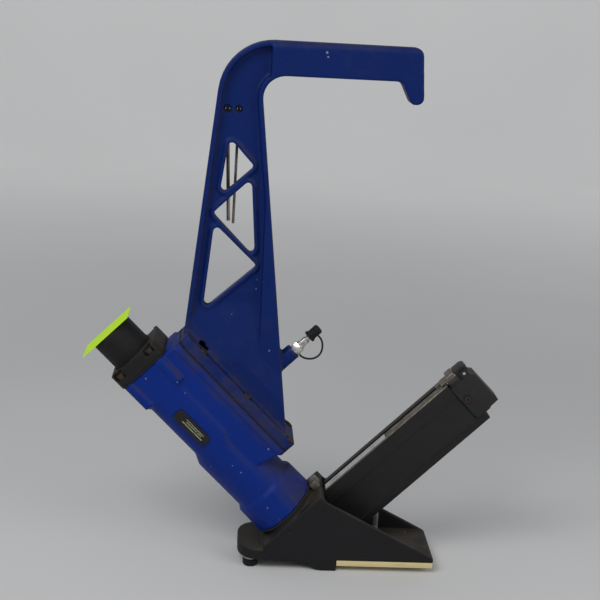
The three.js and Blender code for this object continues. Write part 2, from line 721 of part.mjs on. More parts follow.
const capPocketFloor = capTop - 10;
piece('head_cap', cut(
  slab(capOutline(), capBottom, capTop),
  rod([0, 0, capBottom - 5], [0, 0, capTop + 5], capHole, 40),
  rod([0, 0, sealSeat], [0, 0, sealSeat + 4.2], capHole + 2.4, 40),
  ...headBolts.flatMap(([x, y]) => [
    rod([x, y, capBottom - 5], [x, y, capTop], 3.3, 12),
    rod([x, y, capPocketFloor], [x, y, capTop + 5], 6.4, 16),
    block(x - 6.4, x + 6.4, Math.min(y, y * 2), Math.max(y, y * 2), capPocketFloor, capTop + 5),
  ]),
), blackCasting);

piece('ram_seal', ring(RAM_RADIUS + 0.2, capHole + 2.1, sealSeat + GAP, sealSeat + 3.9), rubber);

piece('head_gasket', cut(
  slab(capOutline(), BODY_TOP + GAP, BODY_TOP + GAP + SEAL),
  rod([0, 0, BODY_TOP - 5], [0, 0, BODY_TOP + 5], chamberRadius, 40),
  ...headBolts.map(([x, y]) => rod([x, y, BODY_TOP - 5], [x, y, BODY_TOP + 5], 3.3, 12)),
), gasket);

headBolts.forEach(([x, y], i) => {
  piece(`head_bolt_${i + 1}`, capScrew(3, 30, 5.5, 6).translate(x, y, capPocketFloor + GAP), darkSteel);
});

// A fluorescent tag stuck over the striking face; it overhangs the front of the ram.
piece('strike_tag', slab(rounded([
  [-41.7, -24, 4],
  [31.5, -27, 4],
  [33, 25, 4],
  [-36, 27, 4],
]), RAM_TOP + GAP, RAM_TOP + GAP + 1.2), marker);

// ---- Handle ------------------------------------------------------------------------------------

const gripBottom = GRIP_TOP - GRIP_THICK;
const uprightFoot = flangeBack + 8;

// Side view of the handle, from the joint face up the front edge and round the grip.
const handleOutline = [
  [...lean(uprightFoot - 2, FLANGE_HIGH), 0],
  [UPRIGHT_TOP_LEFT, GRIP_TOP, 66],
  [GRIP_END - 5, GRIP_TOP - 0.6, 9],
  [GRIP_END, gripBottom - HOOK_DROP, 8],
  [GRIP_END - 15, gripBottom - HOOK_DROP, 6],
  [GRIP_END - 28, gripBottom, 9],
  [UPRIGHT_TOP_RIGHT, gripBottom, 26],
  [...lean(uprightFoot, FLANGE_LOW + 9), 0],
];

// The three windows that lighten the upright.
const windows = [
  [[-88.6, 533], [-57.5, 499.5], [-98.5, 461.5]],
  [[-105.5, 442], [-60.5, 486], [-52.8, 388]],
  [[-103, 430], [-49.5, 379.5], [-113.5, 321.5]],
].map((corners) => corners.map(([x, z]) => [x, z, 4.5]));

function handleCasting() {
  const outline = rounded(handleOutline, 10);
  const recessArea = rounded(inset(handleOutline, RIM), 10);
  const upright = common(
    prism(outline, -RIB_HALF_WIDTH, RIB_HALF_WIDTH),
    block(-300, GRIP_START + 8, -60, 60, 0, GRIP_TOP + 10),
  );
  const recesses = [[WEB_HALF, 40], [-40, -WEB_HALF]].map(([from, to]) => common(
    prism(recessArea, from, to),
    block(-300, GRIP_START, -60, 60, 0, GRIP_TOP + 10),
  ));
  const windowRims = windows.map((corners) =>
    prism(rounded(inset(corners, -WINDOW_RIM), 4), -WEB_HALF - 3, WEB_HALF + 3));
  const windowHoles = windows.map((corners) => prism(rounded(corners, 4), -60, 60));
  const gripSection = rail([
    [-GRIP_HALF_WIDTH + 5, 0],
    [GRIP_HALF_WIDTH - 5, 0],
    [GRIP_HALF_WIDTH, 5],
    [GRIP_HALF_WIDTH, GRIP_TOP - 6],
    [GRIP_HALF_WIDTH - 6, GRIP_TOP + 1],
    [6 - GRIP_HALF_WIDTH, GRIP_TOP + 1],
    [-GRIP_HALF_WIDTH, GRIP_TOP - 6],
    [-GRIP_HALF_WIDTH, 5],
  ], GRIP_START, GRIP_END + 20);
  const grip = common(prism(outline, -60, 60), gripSection);
  const wedge = (side, end, shell) => slab([
    [SPLIT - 4, -side],
    [flangeOuter + 22, -side],
    [end, -shell],
    [end, shell],
    [flangeOuter + 22, side],
    [SPLIT - 4, side],
  ], FLANGE_LOW - 50, FLANGE_HIGH + 120);
  const taper = (side, top) => rail([
    [-side, 0],
    [side, 0],
    [side, CHAMBER_SHOULDER],
    [1, top],
    [-1, top],
    [-side, CHAMBER_SHOULDER],
  ], -300, 300);
  const chamberWall = common(
    prism(outline, -60, 60),
    tilted(wedge(CHAMBER_HALF, CHAMBER_END, WEB_HALF)),
    taper(CHAMBER_HALF, CHAMBER_TOP),
  );
  const boltPlaces = FLANGE_BOLTS.flatMap((z) => [-1, 1].map((side) => [side * FLANGE_BOLT_SPREAD, z]));
  const boltPockets = boltPlaces
    .map(([y, z]) => tilted(rod([handleBoltSeat, y, z], [flangeOuter + 20, y, z], BOLT_POCKET, 16)));
  const hollow = common(
    prism(rounded(inset(handleOutline, SKIN + 1), 6), -60, 60),
    tilted(wedge(CHAMBER_HALF - SKIN, CHAMBER_END - 22, 1.2)),
    taper(CHAMBER_HALF - SKIN, CHAMBER_TOP - 22),
  );
  const doorway = tilted(block(SPLIT - 5, flangeOuter + 4, -AIRWAY_HALF, AIRWAY_HALF, 190, 330));
  const flange = tilted(rail(rounded([
    [-FLANGE_HALF_WIDTH, FLANGE_LOW, 8],
    [FLANGE_HALF_WIDTH, FLANGE_LOW, 8],
    [FLANGE_HALF_WIDTH, FLANGE_HIGH, 8],
    [-FLANGE_HALF_WIDTH, FLANGE_HIGH, 8],
  ]), flangeBack, flangeOuter));
  const boss = tilted(rod([100, 0, INLET_AXIS], [INLET_END, 0, INLET_AXIS], INLET_RADIUS, 24));
  const inlet = tilted(rod([96, 0, INLET_AXIS], [INLET_END + 5, 0, INLET_AXIS], 6.2, 16));
  const belowFlange = tilted(block(-100, flangeBack, -60, 60, 0, 500));
  const boltHoles = boltPlaces
    .map(([y, z]) => tilted(rod([SPLIT - 10, y, z], [flangeOuter + 5, y, z], 3.3, 10)));
  const keyHoles = KEYS.map(({ x, radius }) =>
    rod([x, -20, KEY_HEIGHT], [x, 20, KEY_HEIGHT], radius + 1.7, 12));
  return cut(
    join(
      cut(upright, ...recesses),
      ...windowRims,
      grip,
      chamberWall,
      flange,
      boss,
    ),
    hollow,
    doorway,
    belowFlange,
    inlet,
    ...windowHoles,
    ...boltPockets,
    ...boltHoles,
    ...keyHoles,
  );
}

piece('handle_casting', handleCasting(), bluePaint, tool);

piece('handle_gasket', cut(
  rail(rounded([
    [-FLANGE_HALF_WIDTH, FLANGE_LOW, 8],
    [FLANGE_HALF_WIDTH, FLANGE_LOW, 8],
    [FLANGE_HALF_WIDTH, FLANGE_HIGH, 8],
    [-FLANGE_HALF_WIDTH, FLANGE_HIGH, 8],
  ]), SPLIT - SEAL / 2, SPLIT + SEAL / 2),
  block(0, 100, -AIRWAY_HALF, AIRWAY_HALF, 190, 296),
  ...FLANGE_BOLTS.flatMap((z) => [-1, 1].map((side) =>
    rod([0, side * FLANGE_BOLT_SPREAD, z], [100, side * FLANGE_BOLT_SPREAD, z], 3.3, 12))),
), gasket);

FLANGE_BOLTS.forEach((z, row) => [-1, 1].forEach((side, i) => {
  const screw = capScrew(3, handleBoltLength, 5.5, 6).rotateY(Math.PI / 2);
  screw.translate(handleBoltSeat + GAP, side * FLANGE_BOLT_SPREAD, z);
  piece(`handle_bolt_${2 * row + i + 1}`, screw, darkSteel);
}));

// Hex keys hang behind the web, their short ends in two rubber bushes.
KEYS.forEach(({ name, x, tip, radius, bottom }) => {
  const behind = WEB_HALF + 3 + GAP + radius;
  const route = new THREE.CurvePath();
  const corner = new THREE.Vector3(x, behind, KEY_HEIGHT);
  const bend = 5;
  route.add(new THREE.LineCurve3(
    new THREE.Vector3(x, -WEB_HALF, KEY_HEIGHT),
    new THREE.Vector3(x, behind - bend, KEY_HEIGHT),
  ));
  route.add(new THREE.QuadraticBezierCurve3(
    new THREE.Vector3(x, behind - bend, KEY_HEIGHT),
    corner,
    new THREE.Vector3(x, behind, KEY_HEIGHT - bend),
  ));
  route.add(new THREE.LineCurve3(
    new THREE.Vector3(x, behind, KEY_HEIGHT - bend),
    new THREE.Vector3(tip, behind, bottom),
  ));
  const hexagon = shapeOf(Array.from({ length: 6 }, (_, k) => {
    const angle = (k * Math.PI) / 3;
    return [radius * Math.cos(angle), radius * Math.sin(angle)];
  }));
  const bar = new THREE.ExtrudeGeometry(hexagon, { steps: 24, extrudePath: route, bevelEnabled: false });
  piece(name, bar, steel, tool);
  const bush = turned([
    [radius + GAP, -WEB_HALF - 1],
    [radius + 1.7 - GAP, -WEB_HALF - 1],
    [radius + 1.7 - GAP, WEB_HALF],
    [radius + GAP, WEB_HALF],
    [radius + GAP, -WEB_HALF - 1],
  ], 12).rotateX(-Math.PI / 2).translate(x, 0, KEY_HEIGHT);
  piece(`${name}_bush`, bush, rubber, tool);
});

// ---- Air plug ----------------------------------------------------------------------------------

const plugHex = 8.2;
piece('air_plug', (() => {
  const hexNut = new THREE.CylinderGeometry(plugHex, plugHex, 10, 6).rotateX(Math.PI / 2);
  hexNut.translate(0, 0, 5 + GAP);
  const barrel = turned([
    [0, -12],
    [5.8, -12],
    [5.8, 0.1],
    [6.5, 0.1],
    [6.5, 12],
    [5.6, 13],
    [5.6, 21],
    [3.8, 22.5],
    [3.8, 27],
    [4.6, 28.5],
    [4.6, 38],
    [3.8, 39],
    [0, 39],
  ], 16);
  const bore = rod([0, 0, -20], [0, 0, 50], 2.6, 12);
  return cut(join(barrel, hexNut), bore).rotateY(Math.PI / 2).translate(INLET_END, 0, INLET_AXIS);
})(), chrome);

piece('dust_cap', turned([
  [0, 39.5],
  [5, 39.5],
  [5, 25.5],
  [7.5, 25.5],
  [7.5, 28.5],
  [6.25, 29],
  [6.25, 41],
  [5.2, 42.5],
  [0, 42.5],
], 16).rotateY(Math.PI / 2).translate(INLET_END, 0, INLET_AXIS), rubber);

const tetherRadius = 1.25;
const tetherRoute = [
  [149, INLET_AXIS - 8.6],
  [149, 227.5],
  [151, 222.6],
  [154.8, 218.2],
  [159.6, 215.2],
  [165, 214.2],
  [170.6, 215.4],
  [175.8, 219],
  [179.6, 223.6],
  [181.6, 228.4],
  [182, INLET_AXIS - 6.6],
];
piece('dust_cap_tether', tube(
  tetherRoute.map(([x, z]) => new THREE.Vector3(x, 0, z)),
  tetherRadius,
  8,
  24,
), rubber);

// ---- Magazine ----------------------------------------------------------------------------------

const bandLow = MAG_BOTTOM + MAG_LOW_BAND;
const bandHigh = MAG_TOP - MAG_HIGH_BAND;
const inner = MAG_HALF_WIDTH - MAG_WALL;
const channelTop = MAG_TOP - 3.5;
const lowerRailRear = 271;

piece('magazine_body', join(
  rail([
    [SLOT_FAR, MAG_TOP],
    [MAG_HALF_WIDTH, MAG_TOP],
    [MAG_HALF_WIDTH, bandHigh],
    [MAG_HALF_WIDTH - MAG_RECESS, bandHigh - 0.8],
    [MAG_HALF_WIDTH - MAG_RECESS, bandLow + 0.8],
    [MAG_HALF_WIDTH, bandLow],
    [MAG_HALF_WIDTH, MAG_BOTTOM],
    [-MAG_HALF_WIDTH, MAG_BOTTOM],
    [-MAG_HALF_WIDTH, bandLow],
    [MAG_RECESS - MAG_HALF_WIDTH, bandLow + 0.8],
    [MAG_RECESS - MAG_HALF_WIDTH, bandHigh - 0.8],
    [-MAG_HALF_WIDTH, bandHigh],
    [-MAG_HALF_WIDTH, MAG_TOP],
    [SLOT_NEAR, MAG_TOP],
    [SLOT_NEAR, channelTop],
    [-inner, channelTop],
    [-inner, MAG_BOTTOM + 3],
    [inner, MAG_BOTTOM + 3],
    [inner, channelTop],
    [SLOT_FAR, channelTop],
  ], MAG_FRONT, MAG_REAR),
  block(MAG_REAR - 1, lowerRailRear, -MAG_HALF_WIDTH, MAG_HALF_WIDTH, MAG_BOTTOM, END_CAP_BOTTOM - 1),
  block(RAIL_FRONT, MAG_REAR, SLOT_FAR, MAG_HALF_WIDTH + MAG_FAR_OUT, MAG_TOP - 3, MAG_TOP + MAG_FAR_RISE),
), blackAnodised);

const railTop = MAG_TOP + GAP + RAIL_THICK;
piece('magazine_rail', block(RAIL_FRONT, MAG_REAR, -MAG_HALF_WIDTH, SLOT_NEAR - 0.5, MAG_TOP + GAP, railTop), brownSteel);
const labelTop = railTop + 2 * GAP;
piece('magazine_label', block(
  RAIL_FRONT + 1,
  LABEL_REAR,
  1 - MAG_HALF_WIDTH,
  SLOT_NEAR - 1.5,
  railTop + GAP,
  labelTop,
), paper);

const capFront = MAG_REAR + 0.8;
const [pivotX, pivotZ] = LATCH_PIVOT;
const pinRadius = 1.8;
const pinHole = [pivotX, pivotZ];
const screwAt = [265.5, 50];

piece('magazine_end_cap', (() => {
  const shell = prism([
    [capFront, END_CAP_BOTTOM],
    [END_CAP_REAR - 15, END_CAP_BOTTOM],
    [END_CAP_REAR - 12, END_CAP_BOTTOM + 1.5],
    [END_CAP_REAR, END_CAP_BOTTOM + 2],
    [END_CAP_REAR, END_CAP_TOP - 6],
    [END_CAP_REAR - 5, END_CAP_TOP],
    [capFront, END_CAP_TOP],
  ], -MAG_HALF_WIDTH - 0.6, MAG_HALF_WIDTH + 0.6);
  const lugs = [-1, 1].map((side) => block(
    pivotX - 5,
    pivotX + 5,
    Math.min(side * 10.5, side * 14),
    Math.max(side * 10.5, side * 14),
    END_CAP_TOP - 2,
    pivotZ + 4,
  ));
  return cut(
    join(shell, ...lugs),
    rod([pinHole[0], -30, pinHole[1]], [pinHole[0], 30, pinHole[1]], pinRadius + GAP, 12),
    rod([screwAt[0], -30, screwAt[1]], [screwAt[0], 0, screwAt[1]], 2.3, 12),
    block(capFront - 5, END_CAP_REAR - 6, -inner, inner, END_CAP_BOTTOM + 5, END_CAP_TOP - 6),
  );
})(), blackAnodised);

piece('end_cap_screw', capScrew(2, 7, 4, 2.4)
  .rotateX(Math.PI / 2)
  .translate(screwAt[0], -MAG_HALF_WIDTH - 0.6 - GAP, screwAt[1]), darkSteel);

const latchBottom = END_CAP_TOP + 2.8;
piece('pusher_latch', cut(
  prism([
    [pivotX - 9.7, latchBottom],
    [pivotX + 5, latchBottom],
    [pivotX + 7, latchBottom + 2],
    [pivotX + 7, latchBottom + 8],
    [pivotX + 3, latchBottom + 10.5],
    [pivotX - 9.7, latchBottom + 10.5],
  ], -10, 10),
  rod([pivotX, -30, pivotZ], [pivotX, 30, pivotZ], pinRadius + GAP, 12),
), blackAnodised);
piece('latch_pin', rod([pivotX, -14, pivotZ], [pivotX, 14, pivotZ], pinRadius, 12), steel);

const pusherFront = PUSHER_BACK - PUSHER_LENGTH;
const thumbBottom = labelTop + 0.5;
piece('pusher', join(
  block(pusherFront, PUSHER_BACK, GAP - inner + 2, inner - 2 - GAP, MAG_BOTTOM + 6, channelTop - 3),
  block(pusherFront + 4, PUSHER_BACK, SLOT_NEAR + 0.6, SLOT_FAR - 0.6, channelTop - 8, thumbBottom + 2),
  block(PUSHER_BACK - 4, pivotX - 10.4, -9, 10, thumbBottom, thumbBottom + 2.5),
  block(pivotX - 21, pivotX - 10.4, -11, 11, thumbBottom, thumbBottom + 6),
), brownSteel);
piece('pusher_spring', ring(3.5, 7.5, -8, 8, 20)
  .rotateX(Math.PI / 2)
  .translate(pusherFront - 8.2, 0, 46), steel);

// ---- Stand the tool on the middle of its box ---------------------------------------------------

tool.updateMatrixWorld(true);
const reach = new THREE.Box3().setFromObject(tool, true);
const part = new THREE.Group();
tool.position.set(-(reach.min.x + reach.max.x) / 2, -(reach.min.y + reach.max.y) / 2, -reach.min.z);
part.add(tool);

export default part;
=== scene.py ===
# %% [markdown]
# # A flooring nailer, dressed for its portrait
# The tool is a heavy casting that a flooring fitter stands on a board and strikes with a mallet. Its
# shape, sizes and joints come ready as a frame of plain solids. This lesson gives those solids their
# surface: rounded cast edges, dusty paint with painted shade in its corners, rubber, plated steel and
# worn black metal.
# The frame is loaded first.

# %% Load the frame
import math
import random

import bpy
from mathutils import Matrix, Vector


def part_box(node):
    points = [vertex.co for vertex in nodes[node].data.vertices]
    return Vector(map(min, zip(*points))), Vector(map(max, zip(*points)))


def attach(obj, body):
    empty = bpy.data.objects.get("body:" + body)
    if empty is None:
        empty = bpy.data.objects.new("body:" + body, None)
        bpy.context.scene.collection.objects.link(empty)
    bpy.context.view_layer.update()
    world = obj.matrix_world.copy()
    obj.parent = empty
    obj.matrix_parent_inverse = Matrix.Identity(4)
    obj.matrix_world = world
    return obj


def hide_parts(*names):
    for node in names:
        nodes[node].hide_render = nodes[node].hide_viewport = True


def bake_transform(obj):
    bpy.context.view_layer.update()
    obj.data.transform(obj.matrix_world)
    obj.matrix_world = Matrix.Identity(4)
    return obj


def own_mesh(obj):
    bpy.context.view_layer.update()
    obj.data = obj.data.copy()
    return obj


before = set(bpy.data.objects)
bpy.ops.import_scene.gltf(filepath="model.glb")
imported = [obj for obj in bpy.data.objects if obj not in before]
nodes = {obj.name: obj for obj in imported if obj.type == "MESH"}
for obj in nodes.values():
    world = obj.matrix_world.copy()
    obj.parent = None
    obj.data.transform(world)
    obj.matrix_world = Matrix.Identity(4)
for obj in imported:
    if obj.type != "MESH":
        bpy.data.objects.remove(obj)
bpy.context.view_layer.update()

print("solids in the frame:", len(nodes))

# %% [markdown]
# Almost everything on the tool is square to its driving axis, which leans 45 degrees. So pieces are
# drawn upright in a drive frame, where z runs up the axis and x runs back along the magazine, and one
# matrix lays them into place. Its origin is the point where the axis leaves the nose, half a
# millimetre ahead of the base plate's front edge.

# %% The drive frame
MM = 0.001
LEAN = math.radians(45)
nose_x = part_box("base_plate")[0][0] + 0.5 * MM
DRIVE = Matrix.Translation((nose_x, 0, 0)) @ Matrix.Rotation(-LEAN, 4, "Y")


def drive_point(back, y, up):
    """A point of the drive frame, in millimetres, as a point of the tool in metres."""
    return DRIVE @ Vector((back * MM, y * MM, up * MM))


print("nose at", [round(v, 4) for v in drive_point(0, 0, 0)])

# %% [markdown]
# The camera is settled before any piece. It stands about a metre and a half away, a little to the
# left and well above the tool's middle, and is rolled a few degrees, as a hand-held one is. A long
# lens keeps the tool's proportions honest. Building the camera from three angles and a distance
# keeps each of them easy to change.

# %% Camera
DISTANCE = 1.55
PITCH, YAW, ROLL = math.radians(14.2), math.radians(3.4), math.radians(3.05)
LENS_PER_FRAME = 1270 / 600
target = Vector((0.0039, 0, 0.33805))

forward = Vector((math.sin(YAW) * math.cos(PITCH), math.cos(YAW) * math.cos(PITCH), -math.sin(PITCH)))
level = Vector((math.cos(YAW), -math.sin(YAW), 0))
above = level.cross(forward)
right = level * math.cos(ROLL) + above * math.sin(ROLL)
up = above * math.cos(ROLL) - level * math.sin(ROLL)

camera_data = bpy.data.cameras.new("camera")
camera_data.sensor_width = 36
camera_data.lens = 36 * LENS_PER_FRAME
camera = bpy.data.objects.new("camera", camera_data)
bpy.context.scene.collection.objects.link(camera)
camera.matrix_world = Matrix.Translation(target - forward * DISTANCE) @ Matrix((
    (right.x, up.x, -forward.x, 0),
    (right.y, up.y, -forward.y, 0),
    (right.z, up.z, -forward.z, 0),
    (0, 0, 0, 1),
))
bpy.context.scene.camera = camera
print("camera at", [round(v, 3) for v in camera.location])

# %% [markdown]
# Modelling by operators works on whatever is selected, so every step starts by clearing the
# selection. These few helpers do that, and run a modifier as soon as it is set up, so that each
# piece ends as a plain mesh. `lay` turns a piece drawn in the drive frame into the tool's own place,
# and `settle` hands it to the body that it moves with and hides the frame's solids that it stands for.

# %% Modelling helpers
def clear():
    if bpy.context.object and bpy.context.object.mode != "OBJECT":
        bpy.ops.object.mode_set(mode="OBJECT")
    bpy.ops.object.select_all(action="DESELECT")


def pick(piece):
    clear()
    piece.select_set(True)
    bpy.context.view_layer.objects.active = piece


def finish_with(piece, kind, **settings):
    """Adds one modifier and applies it at once."""
    pick(piece)
    modifier = piece.modifiers.new(kind.lower(), kind)
    for key, value in settings.items():
        setattr(modifier, key, value)
    bpy.ops.object.modifier_apply(modifier=modifier.name)
    return piece


def named(name):
    piece = bpy.context.object
    piece.name = name
    piece.data.name = name
    return piece


def freeze(piece):
    """Moves the object's own place and turn into its mesh."""
    pick(piece)
    bpy.ops.object.transform_apply(location=True, rotation=True, scale=True)
    return piece


def smooth(piece, degrees=35):
    pick(piece)
    bpy.ops.object.shade_smooth_by_angle(angle=math.radians(degrees))
    return piece


def edit(piece):
    pick(piece)
    bpy.ops.object.mode_set(mode="EDIT")
    bpy.ops.mesh.select_mode(type="FACE")
    bpy.ops.mesh.select_all(action="DESELECT")


def choose_faces(piece, test):
    """Selects the faces whose centre and normal pass a test, in edit mode."""
    bpy.ops.object.mode_set(mode="OBJECT")
    for face in piece.data.polygons:
        face.select = test(face.center, face.normal)
    bpy.ops.object.mode_set(mode="EDIT")


def choose_edges(piece, test):
    """Selects the edges whose two ends pass a test, in edit mode."""
    bpy.ops.mesh.select_mode(type="EDGE")
    bpy.ops.object.mode_set(mode="OBJECT")
    for edge in piece.data.edges:
        edge.select = test(*(piece.data.vertices[i].co for i in edge.vertices))
    bpy.ops.object.mode_set(mode="EDIT")


def done():
    bpy.ops.object.mode_set(mode="OBJECT")


def merged_copy(node, name):
    """A copy of one of the frame's solids, its loose triangles merged into one skin."""
    piece = bpy.data.objects.new(name, nodes[node].data.copy())
    bpy.context.scene.collection.objects.link(piece)
    edit(piece)
    bpy.ops.mesh.select_all(action="SELECT")
    bpy.ops.mesh.remove_doubles(threshold=0.01 * MM)
    done()
    return piece


def lay(piece, matrix=DRIVE):
    piece.data.transform(matrix)
    piece.data.update()
    return piece


def cylinder(name, radius, bottom, top, sides=48, x=0.0, y=0.0):
    """A round bar up z, in millimetres."""
    clear()
    bpy.ops.mesh.primitive_cylinder_add(
        vertices=sides,
        radius=radius * MM,
        depth=(top - bottom) * MM,
        location=(x * MM, y * MM, (bottom + top) / 2 * MM),
    )
    return freeze(named(name))


def block(name, low, high):
    """A box between two corners, in millimetres."""
    clear()
    centre = [(a + b) / 2 * MM for a, b in zip(low, high)]
    bpy.ops.mesh.primitive_cube_add(size=1, location=centre)
    piece = named(name)
    piece.scale = [(b - a) * MM for a, b in zip(low, high)]
    return freeze(piece)


def carve(piece, tool, operation="DIFFERENCE"):
    finish_with(piece, "BOOLEAN", object=tool, operation=operation, solver="EXACT")
    bpy.data.objects.remove(tool)
    return piece


def settle(piece, body, slot, *stands_for):
    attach(piece, body)
    if stands_for:
        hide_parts(*stands_for)
    return piece


print("helpers ready")

# %% [markdown]
# ## Writing materials as expressions
# A procedural material is arithmetic on patterns. Wiring dozens of Math nodes by hand hides that
# arithmetic, so a small class wraps a socket and lets Python's own operators add the nodes. `Finish`
# holds one material: `node` adds any node, with its settings first and its sockets after, and the
# few methods below it name the patterns that this tool needs again and again.

# %% Sockets as numbers
class Value:
    def __init__(self, tree, socket):
        self.tree = tree
        self.socket = socket

    def _maths(self, operation, first, second=None):
        node = self.tree.nodes.new("ShaderNodeMath")
        node.operation = operation
        for index, term in enumerate((first, second)):
            if isinstance(term, Value):
                self.tree.links.new(term.socket, node.inputs[index])
            elif term is not None:
                node.inputs[index].default_value = term
        return Value(self.tree, node.outputs[0])

    def __add__(self, other):
        return self._maths("ADD", self, other)

    def __mul__(self, other):
        return self._maths("MULTIPLY", self, other)

    def __sub__(self, other):
        return self._maths("SUBTRACT", self, other)

    def __rsub__(self, other):
        return self._maths("SUBTRACT", other, self)

    def __truediv__(self, other):
        return self._maths("DIVIDE", self, other)

    def __gt__(self, other):
        return self._maths("GREATER_THAN", self, other)

    def __lt__(self, other):
        return self._maths("LESS_THAN", self, other)

    __radd__ = __add__
    __rmul__ = __mul__

    def least(self, other):
        return self._maths("MINIMUM", self, other)

    def most(self, other):
        return self._maths("MAXIMUM", self, other)

    def size(self):
        return self._maths("ABSOLUTE", self)

    def power(self, exponent):
        return self._maths("POWER", self, exponent)


# %% One material at a time
class Finish:
    def __init__(self, name, shine=0.25, **constants):
        self.material = bpy.data.materials.new(name)
        self.material.use_nodes = True
        self.tree = self.material.node_tree
        self.shader = self.tree.nodes["Principled BSDF"]
        self.shader.inputs["Specular IOR Level"].default_value = shine
        for key, value in constants.items():
            self.shader.inputs[key.replace("_", " ")].default_value = value
        self.coords = self.node("TexCoord")

    def node(self, kind, settings=None, **sockets):
        node = self.tree.nodes.new("ShaderNode" + kind)
        for key, value in (settings or {}).items():
            setattr(node, key, value)
        for key, value in sockets.items():
            self.feed(node.inputs[key.replace("_", " ")], value)
        return node

    def feed(self, socket, value):
        if isinstance(value, Value):
            self.tree.links.new(value.socket, socket)
        else:
            socket.default_value = value

    def out(self, node, name=0):
        return Value(self.tree, node.outputs[name])

    def split(self, name):
        """X, Y and Z of a coordinate: Object for a place, Normal for a direction."""
        node = self.node("SeparateXYZ", Vector=self.out(self.coords, name))
        return [self.out(node, axis) for axis in "XYZ"]

    def drive(self):
        """Place in the drive frame, in millimetres: back, across and up the axis."""
        x, y, z = self.split("Object")
        back = (x - nose_x + z) * (math.sqrt(0.5) / MM)
        height = (z - x + nose_x) * (math.sqrt(0.5) / MM)
        return back, y / MM, height

    def along_drive(self, back=1.0, across=1.0, height=1.0):
        """A vector for patterns that run along the tool's own axes."""
        axes = [axis * (scale * MM) for axis, scale in zip(self.drive(), (back, across, height))]
        return self.out(self.node("CombineXYZ", X=axes[0], Y=axes[1], Z=axes[2]))

    def noise(self, scale, detail=3.0, roughness=0.5, stretch=(1, 1, 1), vector=None):
        place = self.node("Mapping", Vector=vector or self.out(self.coords, "Object"), Scale=stretch)
        node = self.node(
            "TexNoise", Vector=self.out(place), Scale=scale, Detail=detail, Roughness=roughness,
        )
        return self.out(node)

    def cells(self, scale):
        """Distance to the nearest of many scattered points, for chips and nicks."""
        node = self.node("TexVoronoi", Vector=self.out(self.coords, "Object"), Scale=scale)
        return self.out(node, "Distance")

    def ramp(self, value, low, high, to_low=0.0, to_high=1.0):
        node = self.node(
            "MapRange", {"interpolation_type": "SMOOTHSTEP"},
            Value=value, From_Min=low, From_Max=high, To_Min=to_low, To_Max=to_high,
        )
        return self.out(node)

    def mix(self, amount, first, second):
        node = self.node("Mix", {"data_type": "RGBA"})
        colours = [socket for socket in node.inputs if socket.type == "RGBA"]
        self.feed(node.inputs["Factor"], amount)
        for socket, colour in zip(colours, (first, second)):
            self.feed(socket, colour if isinstance(colour, Value) else (*colour, 1))
        return Value(self.tree, next(s for s in node.outputs if s.type == "RGBA"))

    def edges(self, low=0.52, high=0.6):
        """1 on convex edges, for wear and painted edge highlight, 0 elsewhere."""
        return self.ramp(self.out(self.node("NewGeometry"), "Pointiness"), low, high)

    def hollows(self, low=0.40, high=0.49):
        """1 in inside corners: painted shade on the blue paint, grime on the black castings."""
        return self.ramp(self.out(self.node("NewGeometry"), "Pointiness"), low, high, 1.0, 0.0)

    def colour(self, value):
        self.feed(self.shader.inputs["Base Color"], value if isinstance(value, Value) else (*value, 1))

    def rough(self, value):
        self.feed(self.shader.inputs["Roughness"], value)

    def metal(self, value):
        self.feed(self.shader.inputs["Metallic"], value)

    def bump(self, height, distance=0.0004, strength=0.5):
        node = self.node("Bump", Height=height, Distance=distance, Strength=strength)
        self.feed(self.shader.inputs["Normal"], self.out(node))

    def spots(self, places):
        """1 inside any of the small round spots given as (back, height, radius) on the near side."""
        back, across, height = self.drive()
        total = None
        for at_back, at_height, radius in places:
            aside, along = back - at_back, height - at_height
            hit = (aside * aside + along * along) < radius * radius
            total = hit if total is None else total + hit
        return (total * (across < 0)).least(1.0)

    def on(self, *pieces, slot=0):
        for piece in pieces:
            while len(piece.data.materials) <= slot:
                piece.data.materials.append(None)
            piece.data.materials[slot] = self.material
        return self


print("material classes ready")
